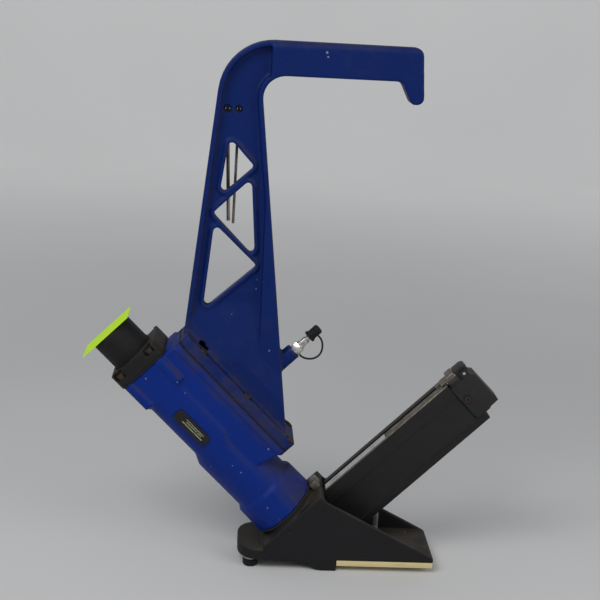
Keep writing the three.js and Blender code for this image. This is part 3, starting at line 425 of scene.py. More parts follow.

# %% [markdown]
# ## Cast and painted metal
# The body and the handle are aluminium castings with a thick blue stove enamel. Its skin shows a fine
# grain from the mould and the ledges that face up hold a purple-grey dust. The inside corners are
# painted near black as shade, and the sharp edges have tiny pale nicks and are painted pale, partly as
# rubbed paint and partly as highlight. One function paints both castings, from the same patterns.

# %% Blue enamel
def blue_enamel(name, deep, light, chips):
    skin = Finish(name, 0.15)
    nx, _, nz = skin.split("Normal")
    back, _, height = skin.drive()
    grain = skin.noise(900, 2.0)
    cloud = skin.noise(14, 4.0, 0.6)
    smear = skin.noise(38, 5.0, 0.65)
    blue = skin.mix(cloud, deep, light)
    blue = skin.mix(skin.ramp(grain, 0.35, 0.7) * 0.25, blue, tuple(v * 1.7 for v in light))
    facing_back = skin.ramp((nx + nz) * math.sqrt(0.5), 0.10, 0.80)
    near_joint = skin.ramp(height, 140, 200) * skin.ramp((back - 62).size(), 8, 26, 1.0, 0.0)
    patches = skin.ramp(smear, 0.22, 0.72)
    dusty = (facing_back.most(near_joint * 0.75) * patches).least(0.82)
    film = skin.ramp(smear, 0.50, 0.80) * 0.16
    blue = skin.mix((dusty + film).least(0.85), blue, (0.036, 0.034, 0.070))
    # Inside corners painted near black in patches: painted shade.
    corner_shade = skin.hollows() * skin.ramp(cloud, 0.25, 0.6) * 0.85
    blue = skin.mix(corner_shade, blue, (0.013, 0.011, 0.015))
    speck = skin.cells(62)
    nick = (speck < 0.07) * (skin.noise(21) > 0.60)
    streak = skin.noise(1.0, 1.0, 0.5, vector=skin.along_drive(900, 900, 26)) > 0.735
    scratch = streak * (height < 136) * (height > 98) * (skin.noise(60) > 0.50)
    # Convex edges painted pale: partly rubbed paint, partly painted highlight.
    edge_wear_and_highlight = skin.edges(0.56, 0.66) * skin.ramp(skin.noise(85, 4.0), 0.55, 0.70)
    pale_marks_and_edge_highlight = (nick * 0.6 + edge_wear_and_highlight * 0.6 + skin.spots(chips) + scratch * 0.5).least(0.9)
    blue = skin.mix(pale_marks_and_edge_highlight, blue, (0.19, 0.23, 0.35))
    skin.colour(blue)
    skin.rough(0.44 + dusty * 0.35 + grain * 0.10 + film * 0.5)
    skin.bump(grain * 0.7 + skin.noise(260, 3.0) * 0.6 - nick * 0.9, 0.00035, 0.45)
    return skin


# The deep and the light blue of each casting's paint, and chips as (back, height, radius). The
# handle's pair is set about half as bright as the body's: painted shade on the same enamel.
BODY_BLUES = (0.0004, 0.0150, 0.155), (0.0008, 0.0215, 0.200)
SHADED_HANDLE_BLUES = (0.0006, 0.0100, 0.082), (0.0012, 0.0150, 0.115)
BODY_CHIPS = [
    (-0.6, 344.2, 0.9), (24.3, 315.3, 1.0), (45.2, 175.9, 1.1), (2.8, 283.8, 0.8), (20.7, 298.4, 0.6),
    (0.9, 177.6, 0.9), (-0.6, 191.0, 0.7), (-5.7, 121.9, 0.9),
]
HANDLE_CHIPS = [(417.9, 483.0, 1.4), (415.4, 478.4, 1.1), (124.0, 327.3, 0.6)]


# %% [markdown]
# A casting has no sharp edges: molten metal will not fill them and the fettler breaks the rest. A
# Bevel modifier could round the solid's edges, but it stumbles where many cut faces meet. Remeshing
# to small even squares and relaxing them rounds every edge and fills every inside corner with a
# small fillet at once, as a mould does. The interior comes along, so the piece stays one closed wall.

# %% Recast the big castings
def recast(node, name, voxel, rounds, keep=1.0):
    """A copy of a solid with the soft edges of a casting."""
    piece = merged_copy(node, name)
    finish_with(piece, "REMESH", mode="VOXEL", voxel_size=voxel * MM)
    finish_with(piece, "SMOOTH", factor=0.5, iterations=rounds)
    if keep < 1:
        finish_with(piece, "DECIMATE", ratio=keep)
    pick(piece)
    bpy.ops.object.shade_smooth()
    print(name, "has", len(piece.data.polygons), "faces")
    return piece


coarse = 1.0
body = recast("body_casting", "body_shell", 1.5 * coarse, 5, 0.6)
handle = recast("handle_casting", "handle_shell", 1.5 * coarse, 5, 0.6)
settle(body, "tool_body", "blue_casting", "body_casting")
settle(handle, "tool_body", "blue_casting", "handle_casting")
blue_enamel("blue enamel on body", *BODY_BLUES, BODY_CHIPS).on(body)
blue_enamel("blue enamel on handle, painted darker as shade", *SHADED_HANDLE_BLUES, HANDLE_CHIPS).on(handle)

# %% [markdown]
# The foot and the head cap are cast too, but dipped in a dull black. Work leaves them greyer than new:
# a brown, floury dust settles on every ledge. The edges are painted lighter grey, partly as paint
# rubbed through to bare metal and partly as highlight.

# %% Black castings
def black_casting(name, brown=1.0):
    skin = Finish(name, 0.25)
    upward = skin.split("Normal")[2]
    pits = skin.noise(700, 3.0)
    cloud = skin.noise(22, 5.0, 0.62)
    base = skin.mix(cloud, (0.0052, 0.0052, 0.0062), (0.0125, 0.0122, 0.0140))
    settled = skin.ramp(upward, 0.25, 0.9) * skin.ramp(cloud, 0.28, 0.62) * brown
    base = skin.mix((settled * 0.75).least(0.8), base, (0.058, 0.047, 0.036))
    grime = skin.hollows() * skin.ramp(cloud, 0.3, 0.6) * brown
    base = skin.mix(grime * 0.6, base, (0.030, 0.021, 0.014))
    # Edges painted lighter grey: partly rubbed paint, partly painted highlight.
    edge_wear_and_highlight = skin.edges(0.55, 0.63) * skin.ramp(skin.noise(120, 4.0), 0.45, 0.68)
    base = skin.mix(edge_wear_and_highlight * 0.5, base, (0.075, 0.072, 0.070))
    chip = (skin.cells(90) < 0.06) * (skin.noise(30) > 0.58)
    base = skin.mix(chip * 0.5, base, (0.10, 0.095, 0.09))
    skin.colour(base)
    skin.rough(0.60 + settled * 0.25 - edge_wear_and_highlight * 0.2)
    skin.bump(pits + skin.noise(180, 2.0) * 0.6 - chip * 0.6, 0.0004, 0.6)
    return skin


foot = recast("foot_casting", "foot_shell", 1.3 * coarse, 4, 0.6)
head_cap = recast("head_cap", "head_cap_shell", 0.9 * coarse, 3, 0.6)
settle(foot, "tool_body", "black_casting", "foot_casting")
settle(head_cap, "tool_body", "black_casting", "head_cap")
black_casting("black foot casting").on(foot)
black_casting("black head cap", 0.6).on(head_cap)

# %% [markdown]
# ## Machined and pressed pieces
# The magazine, its end cap, the latch, the pusher and the brackets are sawn, milled or bent. Their
# faces stay flat and their edges are only broken, so here the Bevel modifier is right. A copy of the
# solid is merged, its flat faces are joined back into whole ones by a limited dissolve, and each
# edge sharper than thirty degrees gets a narrow rounded chamfer. The chamfers take a second material,
# so that the edges alone can be painted lighter, partly as wear and partly as highlight.

# %% Break the edges of the machined pieces
def broken_edges(node, name, width, segments=2, degrees=30):
    piece = merged_copy(node, name)
    piece.data.materials.append(None)
    edit(piece)
    bpy.ops.mesh.select_all(action="SELECT")
    bpy.ops.mesh.dissolve_limited(angle_limit=math.radians(1))
    done()
    finish_with(
        piece, "BEVEL", width=width * MM, segments=segments,
        limit_method="ANGLE", angle_limit=math.radians(degrees), material=1,
    )
    return smooth(piece, 40)


BROKEN = {
    "magazine_body": ("magazine_shell", 0.5, "black_anodised"),
    "magazine_end_cap": ("end_cap_shell", 0.9, "black_anodised"),
    "magazine_rail": ("rail_strip", 0.25, "brown_steel"),
    "nose_bracket": ("apex_bracket", 0.6, "brown_steel"),
    "magazine_strut": ("strut_bar", 0.5, "steel"),
    "base_plate": ("plate_sheet", 0.9, "cream_plastic"),
}
machined = {}
for node, (name, width, slot) in BROKEN.items():
    machined[node] = settle(broken_edges(node, name, width), "tool_body", slot, node)
machined["pusher"] = settle(
    broken_edges("pusher", "pusher_block", 0.6), "pusher_set", "brown_steel", "pusher",
)
machined["pusher_latch"] = settle(
    broken_edges("pusher_latch", "latch_block", 0.7), "latch", "black_anodised", "pusher_latch",
)
print("machined pieces:", len(machined))

# %% [markdown]
# Black anodising is thin and a little glossy. The magazine was drawn through a die, so faint lines run
# along it. Its edges are painted lighter, partly as polish from fingers and cleats and partly as
# highlight, and a grey bloom dulls the middle of each side.

# %% Anodised magazine
def anodised(name, base=0.0050, lines=1.0, wear_and_highlight=0.0):
    skin = Finish(name, 0.3)
    upward = skin.split("Normal")[2]
    drawn = skin.noise(160, 3.0, 0.6, vector=skin.along_drive(lines, 1, 1))
    bloom = skin.noise(16, 4.0, 0.6)
    fine = skin.noise(1100, 2.0)
    tone = skin.mix(bloom, (base, base, base * 1.04), (base * 2.4, base * 2.35, base * 2.4))
    tone = skin.mix(skin.ramp(drawn, 0.55, 0.75) * 0.35, tone, (base * 4, base * 3.9, base * 3.8))
    dust = skin.ramp(upward, 0.45, 0.95) * skin.ramp(bloom, 0.35, 0.65)
    tone = skin.mix((dust * 0.6).least(0.8), tone, (0.075, 0.068, 0.060))
    if wear_and_highlight:
        edge_wear_and_highlight = skin.ramp(skin.noise(120, 4.0, 0.6, vector=skin.along_drive(0.3, 1, 1)), 0.36, 0.62)
        tone = skin.mix(edge_wear_and_highlight * wear_and_highlight, tone, (0.12, 0.118, 0.114))
    skin.colour(tone)
    skin.rough(0.44 + bloom * 0.14 + dust * 0.2)
    skin.bump(drawn * 0.5 + fine * 0.4, 0.0002, 0.35)
    return skin


anodised("anodised magazine", lines=0.12).on(machined["magazine_body"])
anodised("anodised cap", 0.0095).on(machined["magazine_end_cap"], machined["pusher_latch"])
# The edge material paints the chamfers lighter: partly wear, partly painted highlight.
black_edge_wear_and_highlight = anodised("black edge, worn and highlit", 0.010, 0.12, 0.75)
black_edge_wear_and_highlight.on(machined["magazine_body"], machined["magazine_end_cap"], machined["pusher_latch"], slot=1)

# %% [markdown]
# Bare steel that lives on a building site turns brown-grey. The same recipe, with a colour and an
# amount of rust, serves the rail, the brackets, the screws and the hidden steel parts.

# %% Bare steel
def bare_steel(name, clean, stained, stain=0.5, polish=0.3, metallic=0.9):
    skin = Finish(name)
    cloud = skin.noise(60, 5.0, 0.65)
    scratch = skin.noise(420, 2.0, 0.5, (1, 1, 0.15))
    spots = skin.ramp(cloud, 0.62 - 0.3 * stain, 0.78 - 0.2 * stain)
    skin.colour(skin.mix(spots * stain, clean, stained))
    skin.metal(metallic - spots * (0.5 * stain))
    skin.rough(polish + spots * 0.35 + scratch * 0.12)
    skin.bump(scratch * 0.5 + cloud * 0.5, 0.0002, 0.3)
    return skin


weathered = bare_steel("weathered steel", (0.17, 0.15, 0.125), (0.055, 0.040, 0.028), 0.6, 0.40, 0.7)
# The chamfers of the steel pieces are painted lighter: partly wear, partly painted highlight.
steel_edge_wear_and_highlight = bare_steel("steel edge, worn and highlit", (0.34, 0.32, 0.29), (0.14, 0.11, 0.085), 0.4, 0.34, 0.85)
strut_steel = bare_steel("bright steel", (0.36, 0.355, 0.34), (0.16, 0.135, 0.105), 0.35, 0.34)
for node in ("magazine_rail", "pusher", "nose_bracket", "magazine_strut"):
    weathered.on(machined[node])
    steel_edge_wear_and_highlight.on(machined[node], slot=1)
strut_steel.on(machined["magazine_strut"])
black_oxide = bare_steel("black oxide screw", (0.030, 0.026, 0.023), (0.060, 0.034, 0.018), 0.8, 0.45, 0.5)

# %% [markdown]
# The base plate is a wearing strip of cream plastic, scuffed by every board it slid over. Long faint
# scratches run along it and grey dirt lies on it in patches.

# %% Cream plate
def cream_plate():
    skin = Finish("cream wearing plate")
    scuffs = skin.noise(300, 3.0, 0.6, (0.08, 1, 1))
    cloud = skin.noise(28, 5.0, 0.6)
    base = skin.mix(cloud, (0.76, 0.64, 0.34), (0.66, 0.54, 0.27))
    base = skin.mix(skin.ramp(scuffs, 0.60, 0.72) * 0.45, base, (0.28, 0.22, 0.14))
    base = skin.mix(skin.ramp(cloud, 0.60, 0.78) * 0.4, base, (0.32, 0.24, 0.14))
    skin.colour(base)
    skin.rough(0.42 + cloud * 0.2)
    skin.bump(scuffs, 0.0003, 0.3)
    return skin


cream = cream_plate()
cream.on(machined["base_plate"])
cream.on(machined["base_plate"], slot=1)

# %% [markdown]
# ## Screws
# Socket head cap screws hold the castings together. One is modelled: a round head with a chamfered
# rim and a hexagonal socket, on a plain shank. A hexagon cannot be inset into a round face cleanly,
# so the socket is cut by a six-sided bar, as a broach does it. Each screw is then a copy with a mesh
# of its own, turned a little differently, because no fitter lines up the sockets.

# %% One cap screw, then all of them
def cap_screw(name, shank, length, head, height):
    piece = cylinder(name, head, 0, height, 32)
    edit(piece)
    choose_faces(piece, lambda centre, normal: normal.z > 0.9)
    bpy.ops.mesh.bevel(offset=head * 0.13 * MM, segments=2)
    choose_faces(piece, lambda centre, normal: normal.z < -0.9)
    bpy.ops.mesh.inset(thickness=(head - shank) * MM)
    bpy.ops.mesh.extrude_region_move(TRANSFORM_OT_translate={"value": (0, 0, -length * MM)})
    done()
    socket = cylinder("socket", head * 0.56, height * 0.42, height + 2, 6)
    carve(piece, socket)
    return smooth(piece, 35)


def place_screw(node, body, pattern, centre, direction, spin):
    """A copy of the pattern screw, its head's seat at a point in the tool's frame."""
    piece = bpy.data.objects.new(node + "_screw", pattern.data.copy())
    bpy.context.scene.collection.objects.link(piece)
    turn = Vector(direction).to_track_quat("Z", "X").to_matrix().to_4x4()
    piece.data.transform(Matrix.Translation(centre) @ turn @ Matrix.Rotation(spin, 4, "Z"))
    settle(piece, body, "dark_steel", node)
    black_oxide.on(piece)
    return piece


dice = random.Random(7)
casing_screw = cap_screw("casing_screw", 3, 28, 5.5, 6)
cap_head_screw = cap_screw("cap_head_screw", 3, 30, 5.5, 6)
foot_screw = cap_screw("foot_screw", 2.6, 30, 5, 5)
end_screw = cap_screw("end_screw", 2, 7, 4, 2.4)
back_dir = DRIVE.to_3x3() @ Vector((1, 0, 0))
up_dir = DRIVE.to_3x3() @ Vector((0, 0, 1))


def seat(node, direction, height):
    """The middle of a screw's head seat: its box's middle, moved to the head's underside."""
    low, high = (Vector(corner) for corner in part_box(node))
    middle = (low + high) / 2
    furthest = max(vertex.co.dot(direction) for vertex in nodes[node].data.vertices)
    return middle + Vector(direction) * (furthest - middle.dot(direction) - height * MM)


# Each group of screws: its nodes' name and count, its pattern, the way its heads face and their height.
SCREW_GROUPS = [
    ("handle_bolt", 6, casing_screw, back_dir, 6),
    ("head_bolt", 4, cap_head_screw, up_dir, 6),
    ("foot_bolt", 4, foot_screw, -up_dir, 5),
]
screws = []
for group, count, pattern, facing, head_height in SCREW_GROUPS:
    for i in range(1, count + 1):
        node = f"{group}_{i}"
        place = seat(node, facing, head_height)
        screws.append(place_screw(node, "tool_body", pattern, place, facing, dice.random()))
near = Vector((0, -1, 0))
place = seat("end_cap_screw", near, 2.4)
screws.append(place_screw("end_cap_screw", "tool_body", end_screw, place, near, 0.3))
for pattern in (casing_screw, cap_head_screw, foot_screw, end_screw):
    bpy.data.objects.remove(pattern)
print("screws:", len(screws))

# %% [markdown]
# ## The striking cap
# A thick rubber buffer takes the mallet. It is a short cylinder with a rounded rim, scarred and
# greyed by blows. A cylinder is added, its top edge bevelled and its top face inset and dished, and a
# little noise in its material gives the scars.

# %% Rubber striking cap
def rubber(name, base=(0.0042, 0.0042, 0.0045), dusting=0.5):
    skin = Finish(name, 0.25)
    cloud = skin.noise(45, 5.0, 0.65)
    fine = skin.noise(800, 2.0)
    colour = skin.mix(cloud, base, tuple(v * 2.0 for v in base))
    bloom = skin.ramp(cloud, 0.45, 0.75) * dusting
    colour = skin.mix(bloom * 0.4, colour, (0.040, 0.036, 0.032))
    skin.colour(colour)
    skin.rough(0.62 + bloom * 0.3)
    skin.bump(fine * 0.6 + cloud, 0.0004, 0.4)
    return skin


RAM_RADIUS, RAM_BOTTOM, RAM_TOP = 27.2, 363, 411.5
striker = cylinder("striking_cap", RAM_RADIUS, RAM_BOTTOM, RAM_TOP, 64)
edit(striker)
choose_faces(striker, lambda centre, normal: normal.z > 0.9)
bpy.ops.mesh.bevel(offset=2.4 * MM, segments=4)
choose_faces(striker, lambda centre, normal: normal.z > 0.999)
bpy.ops.mesh.inset(thickness=3 * MM)
bpy.ops.transform.translate(value=(0, 0, -0.5 * MM))
choose_faces(striker, lambda centre, normal: normal.z < -0.9)
bpy.ops.mesh.inset(thickness=17.9 * MM)
bpy.ops.mesh.extrude_region_move(TRANSFORM_OT_translate={"value": (0, 0, 28 * MM)})
done()
smooth(striker, 35)
settle(lay(striker), "striker", "rubber", "ram_cap")
worn_rubber = rubber("worn black rubber")
worn_rubber.on(striker)

# %% [markdown]
# A fluorescent tag covers the striking face and hangs over its edge. It is thin card that has been
# bent and knocked, so a subdivided sheet is given a gentle curl at its free corner and a thickness.

# %% Fluorescent tag
TAG_FRONT, TAG_BACK, TAG_HALF_WIDTH, TAG_THICK = -41.7, 33.0, 26.5, 1.0
TAG_BOTTOM = RAM_TOP + 0.4
BEND_START = -28.5 # where the sheet leaves the rubber and starts to droop


def tag_sheet():
    near_corner = (TAG_FRONT, -TAG_HALF_WIDTH, TAG_BOTTOM)
    far_corner = (TAG_BACK, TAG_HALF_WIDTH, TAG_BOTTOM + TAG_THICK)
    piece = block("marker_sheet", near_corner, far_corner)
    edit(piece)
    bpy.ops.mesh.select_all(action="SELECT")
    bpy.ops.mesh.subdivide(number_cuts=24)
    done()
    for vertex in piece.data.vertices:
        x, y, z = vertex.co / MM
        overhang = max(0.0, BEND_START - x) / (BEND_START - TAG_FRONT)
        wave = 0.30 * math.sin(x * 0.21 + y * 0.13) * min(1.0, overhang * 2)
        along = (x - TAG_FRONT) / (TAG_BACK - TAG_FRONT)
        narrowing = 1 - 0.10 * overhang - 0.05 * max(0.0, y / TAG_HALF_WIDTH) * along
        vertex.co = Vector((x, y * narrowing, z - 0.35 * overhang ** 2 + max(wave, -0.2) + 0.1)) * MM
    finish_with(piece, "BEVEL", width=0.25 * MM, segments=1, limit_method="ANGLE", angle_limit=1.0)
    return smooth(piece, 40)


tag = settle(lay(tag_sheet()), "striker", "marker_tag", "strike_tag")
# The emission is painted light: a steady glow of its own that makes the card brighter than the lamps alone
# would.
glow = Finish("fluorescent card with painted glow", Roughness=0.6, Emission_Strength=0.22)
fade = glow.noise(60, 4.0)
glow.colour(glow.mix(fade, (0.36, 0.62, 0.004), (0.46, 0.68, 0.012)))
glow.feed(glow.shader.inputs["Emission Color"], glow.mix(fade, (0.36, 0.66, 0.0), (0.46, 0.72, 0.01)))
glow.bump(glow.noise(240, 3.0), 0.0003, 0.3)
glow.on(tag)

# %% [markdown]
# ## The nameplate
# Makers rivet or glue a small plate on the body. This one is a plain black badge with three broken
# pale bars, standing for a name without writing one. It is a rounded block with a fine
# rim, and its material draws the bars on the front face alone.

# %% Nameplate
def badge_plate():
    low, high = (-11, -39.2, 234), (4.5, -37.6, 288)
    piece = block("badge", low, high)
    edit(piece)
    choose_edges(piece, lambda a, b: abs(a.y - b.y) > 0.001)
    bpy.ops.mesh.bevel(offset=5.5 * MM, segments=8)
    bpy.ops.mesh.select_mode(type="FACE")
    choose_faces(piece, lambda centre, normal: normal.y < -0.9)
    bpy.ops.mesh.inset(thickness=0.7 * MM)
    bpy.ops.mesh.inset(thickness=0.5 * MM)
    bpy.ops.transform.translate(value=(0, 0.25 * MM, 0))
    done()
    return smooth(piece, 30)


badge = settle(lay(badge_plate()), "tool_body", "black_plastic", "nameplate")
badge_print = Finish("badge print", 0.4)
back, across, height = badge_print.drive()
aside, along = back + 3.25, height - 261
front = badge_print.split("Normal")[1] < -0.7
bars = None
BARS = ((-2.4, 17, 0.75), (0.6, 13, 0.6), (3.0, 15, 0.6)) # each bar's offset, half length and thickness
for offset, half_length, thickness in BARS:
    bar = ((aside - offset).size() < thickness) * ((along + 3).size() < half_length)
    bars = bar if bars is None else bars + bar
broken = badge_print.noise(520, 2.0) > 0.38
tint = badge_print.mix((bars * broken * front).least(0.85), (0.004, 0.004, 0.005), (0.33, 0.32, 0.21))
dirt = badge_print.ramp(badge_print.noise(70, 4.0), 0.45, 0.75)
badge_print.colour(badge_print.mix(dirt * 0.3, tint, (0.030, 0.028, 0.030)))
badge_print.rough(0.30 + dirt * 0.3)
badge_print.on(badge)

# %% [markdown]
# ## Air plug, dust cap and tether
# Compressed air comes in through a plated plug: a hexagon for the spanner, a turned barrel and a
# waisted nipple. It is built from turned lengths, each a cylinder with its ends bevelled, welded
# into one piece by a union. A rubber cap keeps dust out and hangs on a thin tether.

# %% Plated plug
def turned_bar(name, stations, sides=40):
    """A bar up z whose radius changes at each station: [height, radius] pairs, in millimetres."""
    piece = cylinder(name, stations[0][1], stations[0][0], stations[1][0], sides)
    edit(piece)
    choose_faces(piece, lambda centre, normal: normal.z > 0.9)
    radius = stations[0][1]
    height = stations[1][0]
    for top, wanted in stations[1:]:
        if top > height:
            bpy.ops.mesh.extrude_region_move(TRANSFORM_OT_translate={"value": (0, 0, (top - height) * MM)})
        scale = wanted / radius
        bpy.ops.transform.resize(value=(scale, scale, 1))
        radius, height = wanted, top
    done()
    return piece


def air_plug():
    stations = [
        (0.1, 6.5), (11.5, 6.5), (12.2, 5.8), (13.2, 5.8), (13.8, 5.1), (20.6, 5.1), (21.2, 5.6),
        (21.8, 3.8), (27, 3.8), (28.5, 4.6), (37.6, 4.6), (38.6, 3.8),
    ]
    piece = turned_bar("plug", stations)
    thread = turned_bar("plug_thread", [(-12, 5.6), (-10, 5.8), (0.5, 5.8)])
    carve(piece, thread, "UNION")
    nut = cylinder("plug_nut", 8.2, 0.35, 10.2, 6)
    edit(nut)
    bpy.ops.mesh.select_all(action="SELECT")
    bpy.ops.mesh.bevel(offset=0.5 * MM, segments=2)
    done()
    carve(piece, nut, "UNION")
    carve(piece, cylinder("plug_bore", 2.6, -20, 60, 24))
    return smooth(piece, 30)


plug_place = Matrix.Translation((147 * MM, 0, 240 * MM)) @ Matrix.Rotation(math.radians(90), 4, "Y")
plug = settle(lay(lay(air_plug(), plug_place)), "tool_body", "plated_plug", "air_plug")
plating = Finish("dulled plating", 0.5, Metallic=1.0)
haze = plating.noise(120, 5.0, 0.6)
plating.colour(plating.mix(plating.ramp(haze, 0.48, 0.7), (0.72, 0.71, 0.68), (0.34, 0.30, 0.25)))
plating.rough(0.16 + haze * 0.22)
plating.bump(plating.noise(500, 2.0), 0.0001, 0.25)
plating.on(plug)

# %% Dust cap
def dust_cap():
    piece = turned_bar("dust_stopper", [
        (25.5, 7.5), (28.2, 7.5), (28.6, 6.9), (29.2, 6.25), (31, 6.25), (31.4, 5.95), (32.4, 5.95),
        (32.8, 6.25), (34.6, 6.25), (35, 5.95), (36, 5.95), (36.4, 6.25), (40.6, 6.25), (42, 5.2),
        (42.5, 4.2),
    ])
    carve(piece, cylinder("stopper_hole", 5, 20, 39.5, 32))
    return smooth(piece, 40)


stopper = settle(lay(lay(dust_cap(), plug_place)), "inlet_cap", "rubber", "dust_cap")
worn_rubber.on(stopper)

# %% [markdown]
# The tether is a springy plastic cord, fixed at the plug and at the cap. It is modelled as a true
# length of cord on its own route: a circle swept along a smooth curve through listed points.

# %% Tether
TETHER_ROUTE = [
    (149, 231.4), (149, 227.5), (151, 222.6), (154.8, 218.2), (159.6, 215.2), (165, 214.2),
    (170.6, 215.4), (175.8, 219), (179.6, 223.6), (181.6, 228.4), (182, 233.4),
]
TETHER_THICK = 2.4


def smooth_route(points, steps=8):
    """Points on one smooth curve through the given ones, close together."""
    route = []
    last = len(points) - 1
    for i in range(last):
        p0, p1, p2, p3 = (points[max(i - 1, 0)], points[i], points[i + 1], points[min(i + 2, last)])
        for k in range(steps):
            t = k / steps
            route.append(0.5 * (
                2 * p1 + (p2 - p0) * t + (2 * p0 - 5 * p1 + 4 * p2 - p3) * t ** 2
                + (3 * p1 - p0 - 3 * p2 + p3) * t ** 3
            ))
    return route + [points[-1]]


def swept_cord(name, route, thickness):
    curve = bpy.data.curves.new(name, "CURVE")
    curve.dimensions = "3D"
    curve.bevel_depth = thickness / 2 * MM
    curve.bevel_resolution = 3
    curve.use_fill_caps = True
    spline = curve.splines.new("POLY")
    spline.points.add(len(route) - 1)
    for point, place in zip(spline.points, route):
        point.co = (*place, 1)
    holder = bpy.data.objects.new(name, curve)
    bpy.context.scene.collection.objects.link(holder)
    pick(holder)
    bpy.ops.object.convert(target="MESH")
    piece = named(name)
    edit(piece)
    bpy.ops.mesh.select_all(action="SELECT")
    bpy.ops.mesh.remove_doubles(threshold=0.00001)
    bpy.ops.mesh.normals_make_consistent(inside=False)
    done()
    return smooth(piece, 50)


tether_route = smooth_route([drive_point(back, 0, height) for back, height in TETHER_ROUTE])
tether_length = sum((b - a).length for a, b in zip(tether_route, tether_route[1:]))
tether = swept_cord("cap_tether", tether_route, TETHER_THICK)
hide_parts("dust_cap_tether")
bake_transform(tether)
worn_rubber.on(tether)
print("tether length", round(tether_length, 4), "m")

# %% [markdown]
# ## The label on the magazine
# A strip of plastic film says how to use the tool. Writing is left out: grey bars stand for lines of
# print, in a pattern worked out from the place along the strip.

# %% Printed strip
strip = broken_edges("magazine_label", "printed_strip", 0.1, 1)
settle(strip, "tool_body", "paper_label", "magazine_label")
film = Finish("printed film", 0.35)
back, across, height = film.drive()
lines = film.out(film.node("Math", {"operation": "SINE"}, Value=across * (2 * math.pi / 2.1))) > 0.3
words = film.noise(420, 2.0, 0.5, (1, 0.2, 1)) > 0.47
print_area = lines * words * ((across + 6).size() < 5.2) * (back > 88) * (back < 150)
box_area = ((across + 6).size() < 4.2) * (back > 64) * (back < 82) * 0.5
tone = film.mix((print_area * 0.45 + box_area).least(0.8), (0.40, 0.40, 0.39), (0.16, 0.16, 0.16))
scuff = film.ramp(film.noise(90, 4.0), 0.52, 0.74)
film.colour(film.mix(scuff * 0.4, tone, (0.17, 0.16, 0.15)))
film.rough(0.34 + scuff * 0.3)
film.on(strip)
film.on(strip, slot=1)

# %% [markdown]
# ## Rubber feet
# Two rubber feet stand under the front lip, each on a pale washer. Each foot is a cylinder whose
# bottom edge is rounded and whose side is pressed in a little below the top, and the washer is a
# thin disc of its own.

# %% Feet and washers
def rubber_foot(side):
    low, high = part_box(f"rubber_foot_{side}")
    x, y = (low[0] + high[0]) / 2 / MM, (low[1] + high[1]) / 2 / MM
    piece = cylinder(f"foot_pad_{side}", 9.6, 0, 8.2, 40, x, y)
    edit(piece)
    choose_faces(piece, lambda centre, normal: normal.z < -0.9)
    bpy.ops.mesh.bevel(offset=2.2 * MM, segments=5)
    choose_faces(piece, lambda centre, normal: normal.z > 0.9)
    bpy.ops.mesh.inset(thickness=1.2 * MM)
    bpy.ops.mesh.extrude_region_move(TRANSFORM_OT_translate={"value": (0, 0, 1.0 * MM)})
    done()
    smooth(piece, 35)
    washer = cylinder(f"foot_washer_{side}", 9.2, 9.6, 11.7, 40, x, y)
    edit(washer)
    bpy.ops.mesh.select_all(action="SELECT")
    bpy.ops.mesh.bevel(offset=0.4 * MM, segments=2)
    done()
    smooth(washer, 35)
    stem = cylinder(f"foot_stud_{side}", 2.9, 9.0, 20, 20, x, y)
    carve(washer, stem, "UNION")
    settle(piece, "tool_body", "rubber", f"rubber_foot_{side}")
    settle(washer, "tool_body", "steel")
    worn_rubber.on(piece)
    strut_steel.on(washer)


for side in ("near", "far"):
    rubber_foot(side)

# %% [markdown]
# ## Hidden and small pieces
# The frame also holds what works inside the tool. Their shapes are right as they stand, so each
# keeps its solid and gets a true finish: turned aluminium, spring steel, red-brown polyurethane,
# pressed paper gasket.

# %% Finishes for the pieces that stay
def turned_aluminium():
    skin = Finish("turned aluminium", 0.5, Metallic=1.0)
    lathe = skin.noise(500, 2.0, 0.5, (1, 1, 4))
    skin.colour(skin.mix(skin.noise(50, 4.0), (0.60, 0.61, 0.63), (0.46, 0.46, 0.47)))
    skin.rough(0.26 + lathe * 0.18)
    skin.bump(lathe, 0.0001, 0.3)
    return skin


def paper_gasket():
    skin = Finish("pressed gasket")
    fibre = skin.noise(650, 4.0, 0.6)
    skin.colour(skin.mix(fibre, (0.020, 0.017, 0.014), (0.045, 0.037, 0.028)))
    skin.rough(0.75 + fibre * 0.2)
    skin.bump(fibre, 0.0002, 0.4)
    return skin


def key_steel():
    """Dull steel, painted near black above a height where the bent end sits in its bush: painted shade
    inside the bush.
    """
    skin = Finish("key steel", 0.35, Metallic=0.75)
    up = skin.split("Object")[2]
    stains = skin.noise(140, 4.0, 0.6, (1, 1, 0.3))
    tone = skin.mix(skin.ramp(stains, 0.42, 0.66), (0.34, 0.31, 0.27), (0.15, 0.12, 0.09))
    # Above this height the key is painted near black: painted shade inside its bush.
    skin.colour(skin.mix(up > 0.556, tone, (0.012, 0.011, 0.010)))
    skin.rough(0.36 + stains * 0.25)
    skin.bump(stains, 0.0001, 0.3)
    return skin


bright = bare_steel("tool steel", (0.56, 0.55, 0.53), (0.30, 0.26, 0.21), 0.25, 0.24)
STAYING = {
    turned_aluminium(): ["cylinder_sleeve", "piston", "head_valve", "valve_guide"],
    paper_gasket(): ["foot_gasket", "handle_gasket", "head_gasket"],
    rubber("red brown bumper", (0.13, 0.035, 0.012), 0.2): ["bumper"],
    worn_rubber: ["piston_o_ring", "ram_seal", "hex_key_large_bush", "hex_key_small_bush"],
    key_steel(): ["hex_key_large", "hex_key_small"],
    bright: [
        "driver_blade", "driver_guide_front", "driver_guide_rear", "ram_stem", "latch_pin",
        "pusher_spring", "base_plate_screw_near", "base_plate_screw_far",
    ],
}
for skin, names in STAYING.items():
    for name in names:
        smooth(nodes[name], 35)
        skin.on(nodes[name])
    print(skin.material.name, "on", len(names))

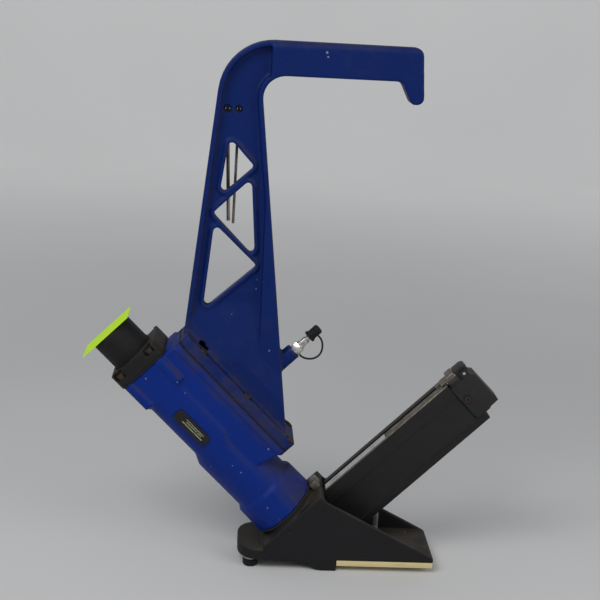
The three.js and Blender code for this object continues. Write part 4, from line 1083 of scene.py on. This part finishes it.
# %% [markdown]
# The two return springs lie between a fixed piece and a moving one. Each is a copy of its solid,
# with a mesh of its own.

# %% Return springs
def return_spring(name, node):
    piece = smooth(merged_copy(node, name))
    settle(piece, "tool_body", "steel", node)
    bright.on(piece)
    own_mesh(piece)


return_spring("ram_return_spring", "ram_spring")
return_spring("valve_return_spring", "head_valve_spring")

# %% [markdown]
# ## Studio
# The tool stands on a wide pale sheet that sweeps up far behind it, so that a camera can walk all the
# way round between the tool and the sheet. The far parts of the sheet glow a little, as a lit
# backdrop does. Two large soft lamps and a pale sky leave gentle shading and one soft shadow.

# %% Floor and light
def backdrop():
    clear()
    bpy.ops.mesh.primitive_plane_add(size=1, location=(0, 0, 0))
    sheet = named("paper_floor")
    sheet.scale = (14, 8, 1)
    sheet.location = (0, -0.8, -0.0002)
    freeze(sheet)
    return sheet


SHEET_BACK, SWEEP_STEPS, SWEEP_RADIUS, WALL_HEIGHT = 3, 14, 0.80, 3.4
floor = backdrop()
edit(floor)
choose_edges(floor, lambda a, b: min(a.y, b.y) > SHEET_BACK)
for k in range(SWEEP_STEPS):
    angle = (k + 0.5) / SWEEP_STEPS * math.pi / 2
    step = SWEEP_RADIUS * math.pi / 2 / SWEEP_STEPS
    bpy.ops.mesh.extrude_region_move(
        TRANSFORM_OT_translate={"value": (0, step * math.cos(angle), step * math.sin(angle))},
    )
bpy.ops.mesh.extrude_region_move(TRANSFORM_OT_translate={"value": (0, 0, WALL_HEIGHT)})
done()
smooth(floor, 60)
paper = Finish("studio paper", Roughness=0.9, Emission_Strength=1.0)
paper.colour(paper.mix(paper.noise(2.0, 2.0), (0.60, 0.60, 0.595), (0.66, 0.66, 0.655)))
aside, away, _ = paper.split("Object")
glow_share = paper.ramp((aside * aside + away * away).power(0.5), 0.6, 3.4)
paper.feed(paper.shader.inputs["Emission Color"], paper.mix(glow_share, (0, 0, 0), (0.21, 0.21, 0.21)))
paper.on(floor)


def lamp(name, place, aim, size, power):
    data = bpy.data.lights.new(name, "AREA")
    data.shape = "RECTANGLE"
    data.size, data.size_y = size
    data.energy = power
    holder = bpy.data.objects.new(name, data)
    bpy.context.scene.collection.objects.link(holder)
    holder.location = place
    holder.rotation_euler = (Vector(aim) - Vector(place)).to_track_quat("-Z", "Y").to_euler()


lamp("key_lamp", (-0.9, -1.3, 1.9), (0, 0, 0.3), (1.4, 1.0), 27)
lamp("fill_lamp", (1.6, -1.2, 1.1), (0, 0, 0.25), (1.2, 1.2), 10)
world = bpy.data.worlds.new("studio air")
world.use_nodes = True
world.node_tree.nodes["Background"].inputs["Color"].default_value = (0.93, 0.95, 1.0, 1)
world.node_tree.nodes["Background"].inputs["Strength"].default_value = 0.30
bpy.context.scene.world = world
bpy.context.scene.view_settings.view_transform = "Standard"

# %% Finish
clear()
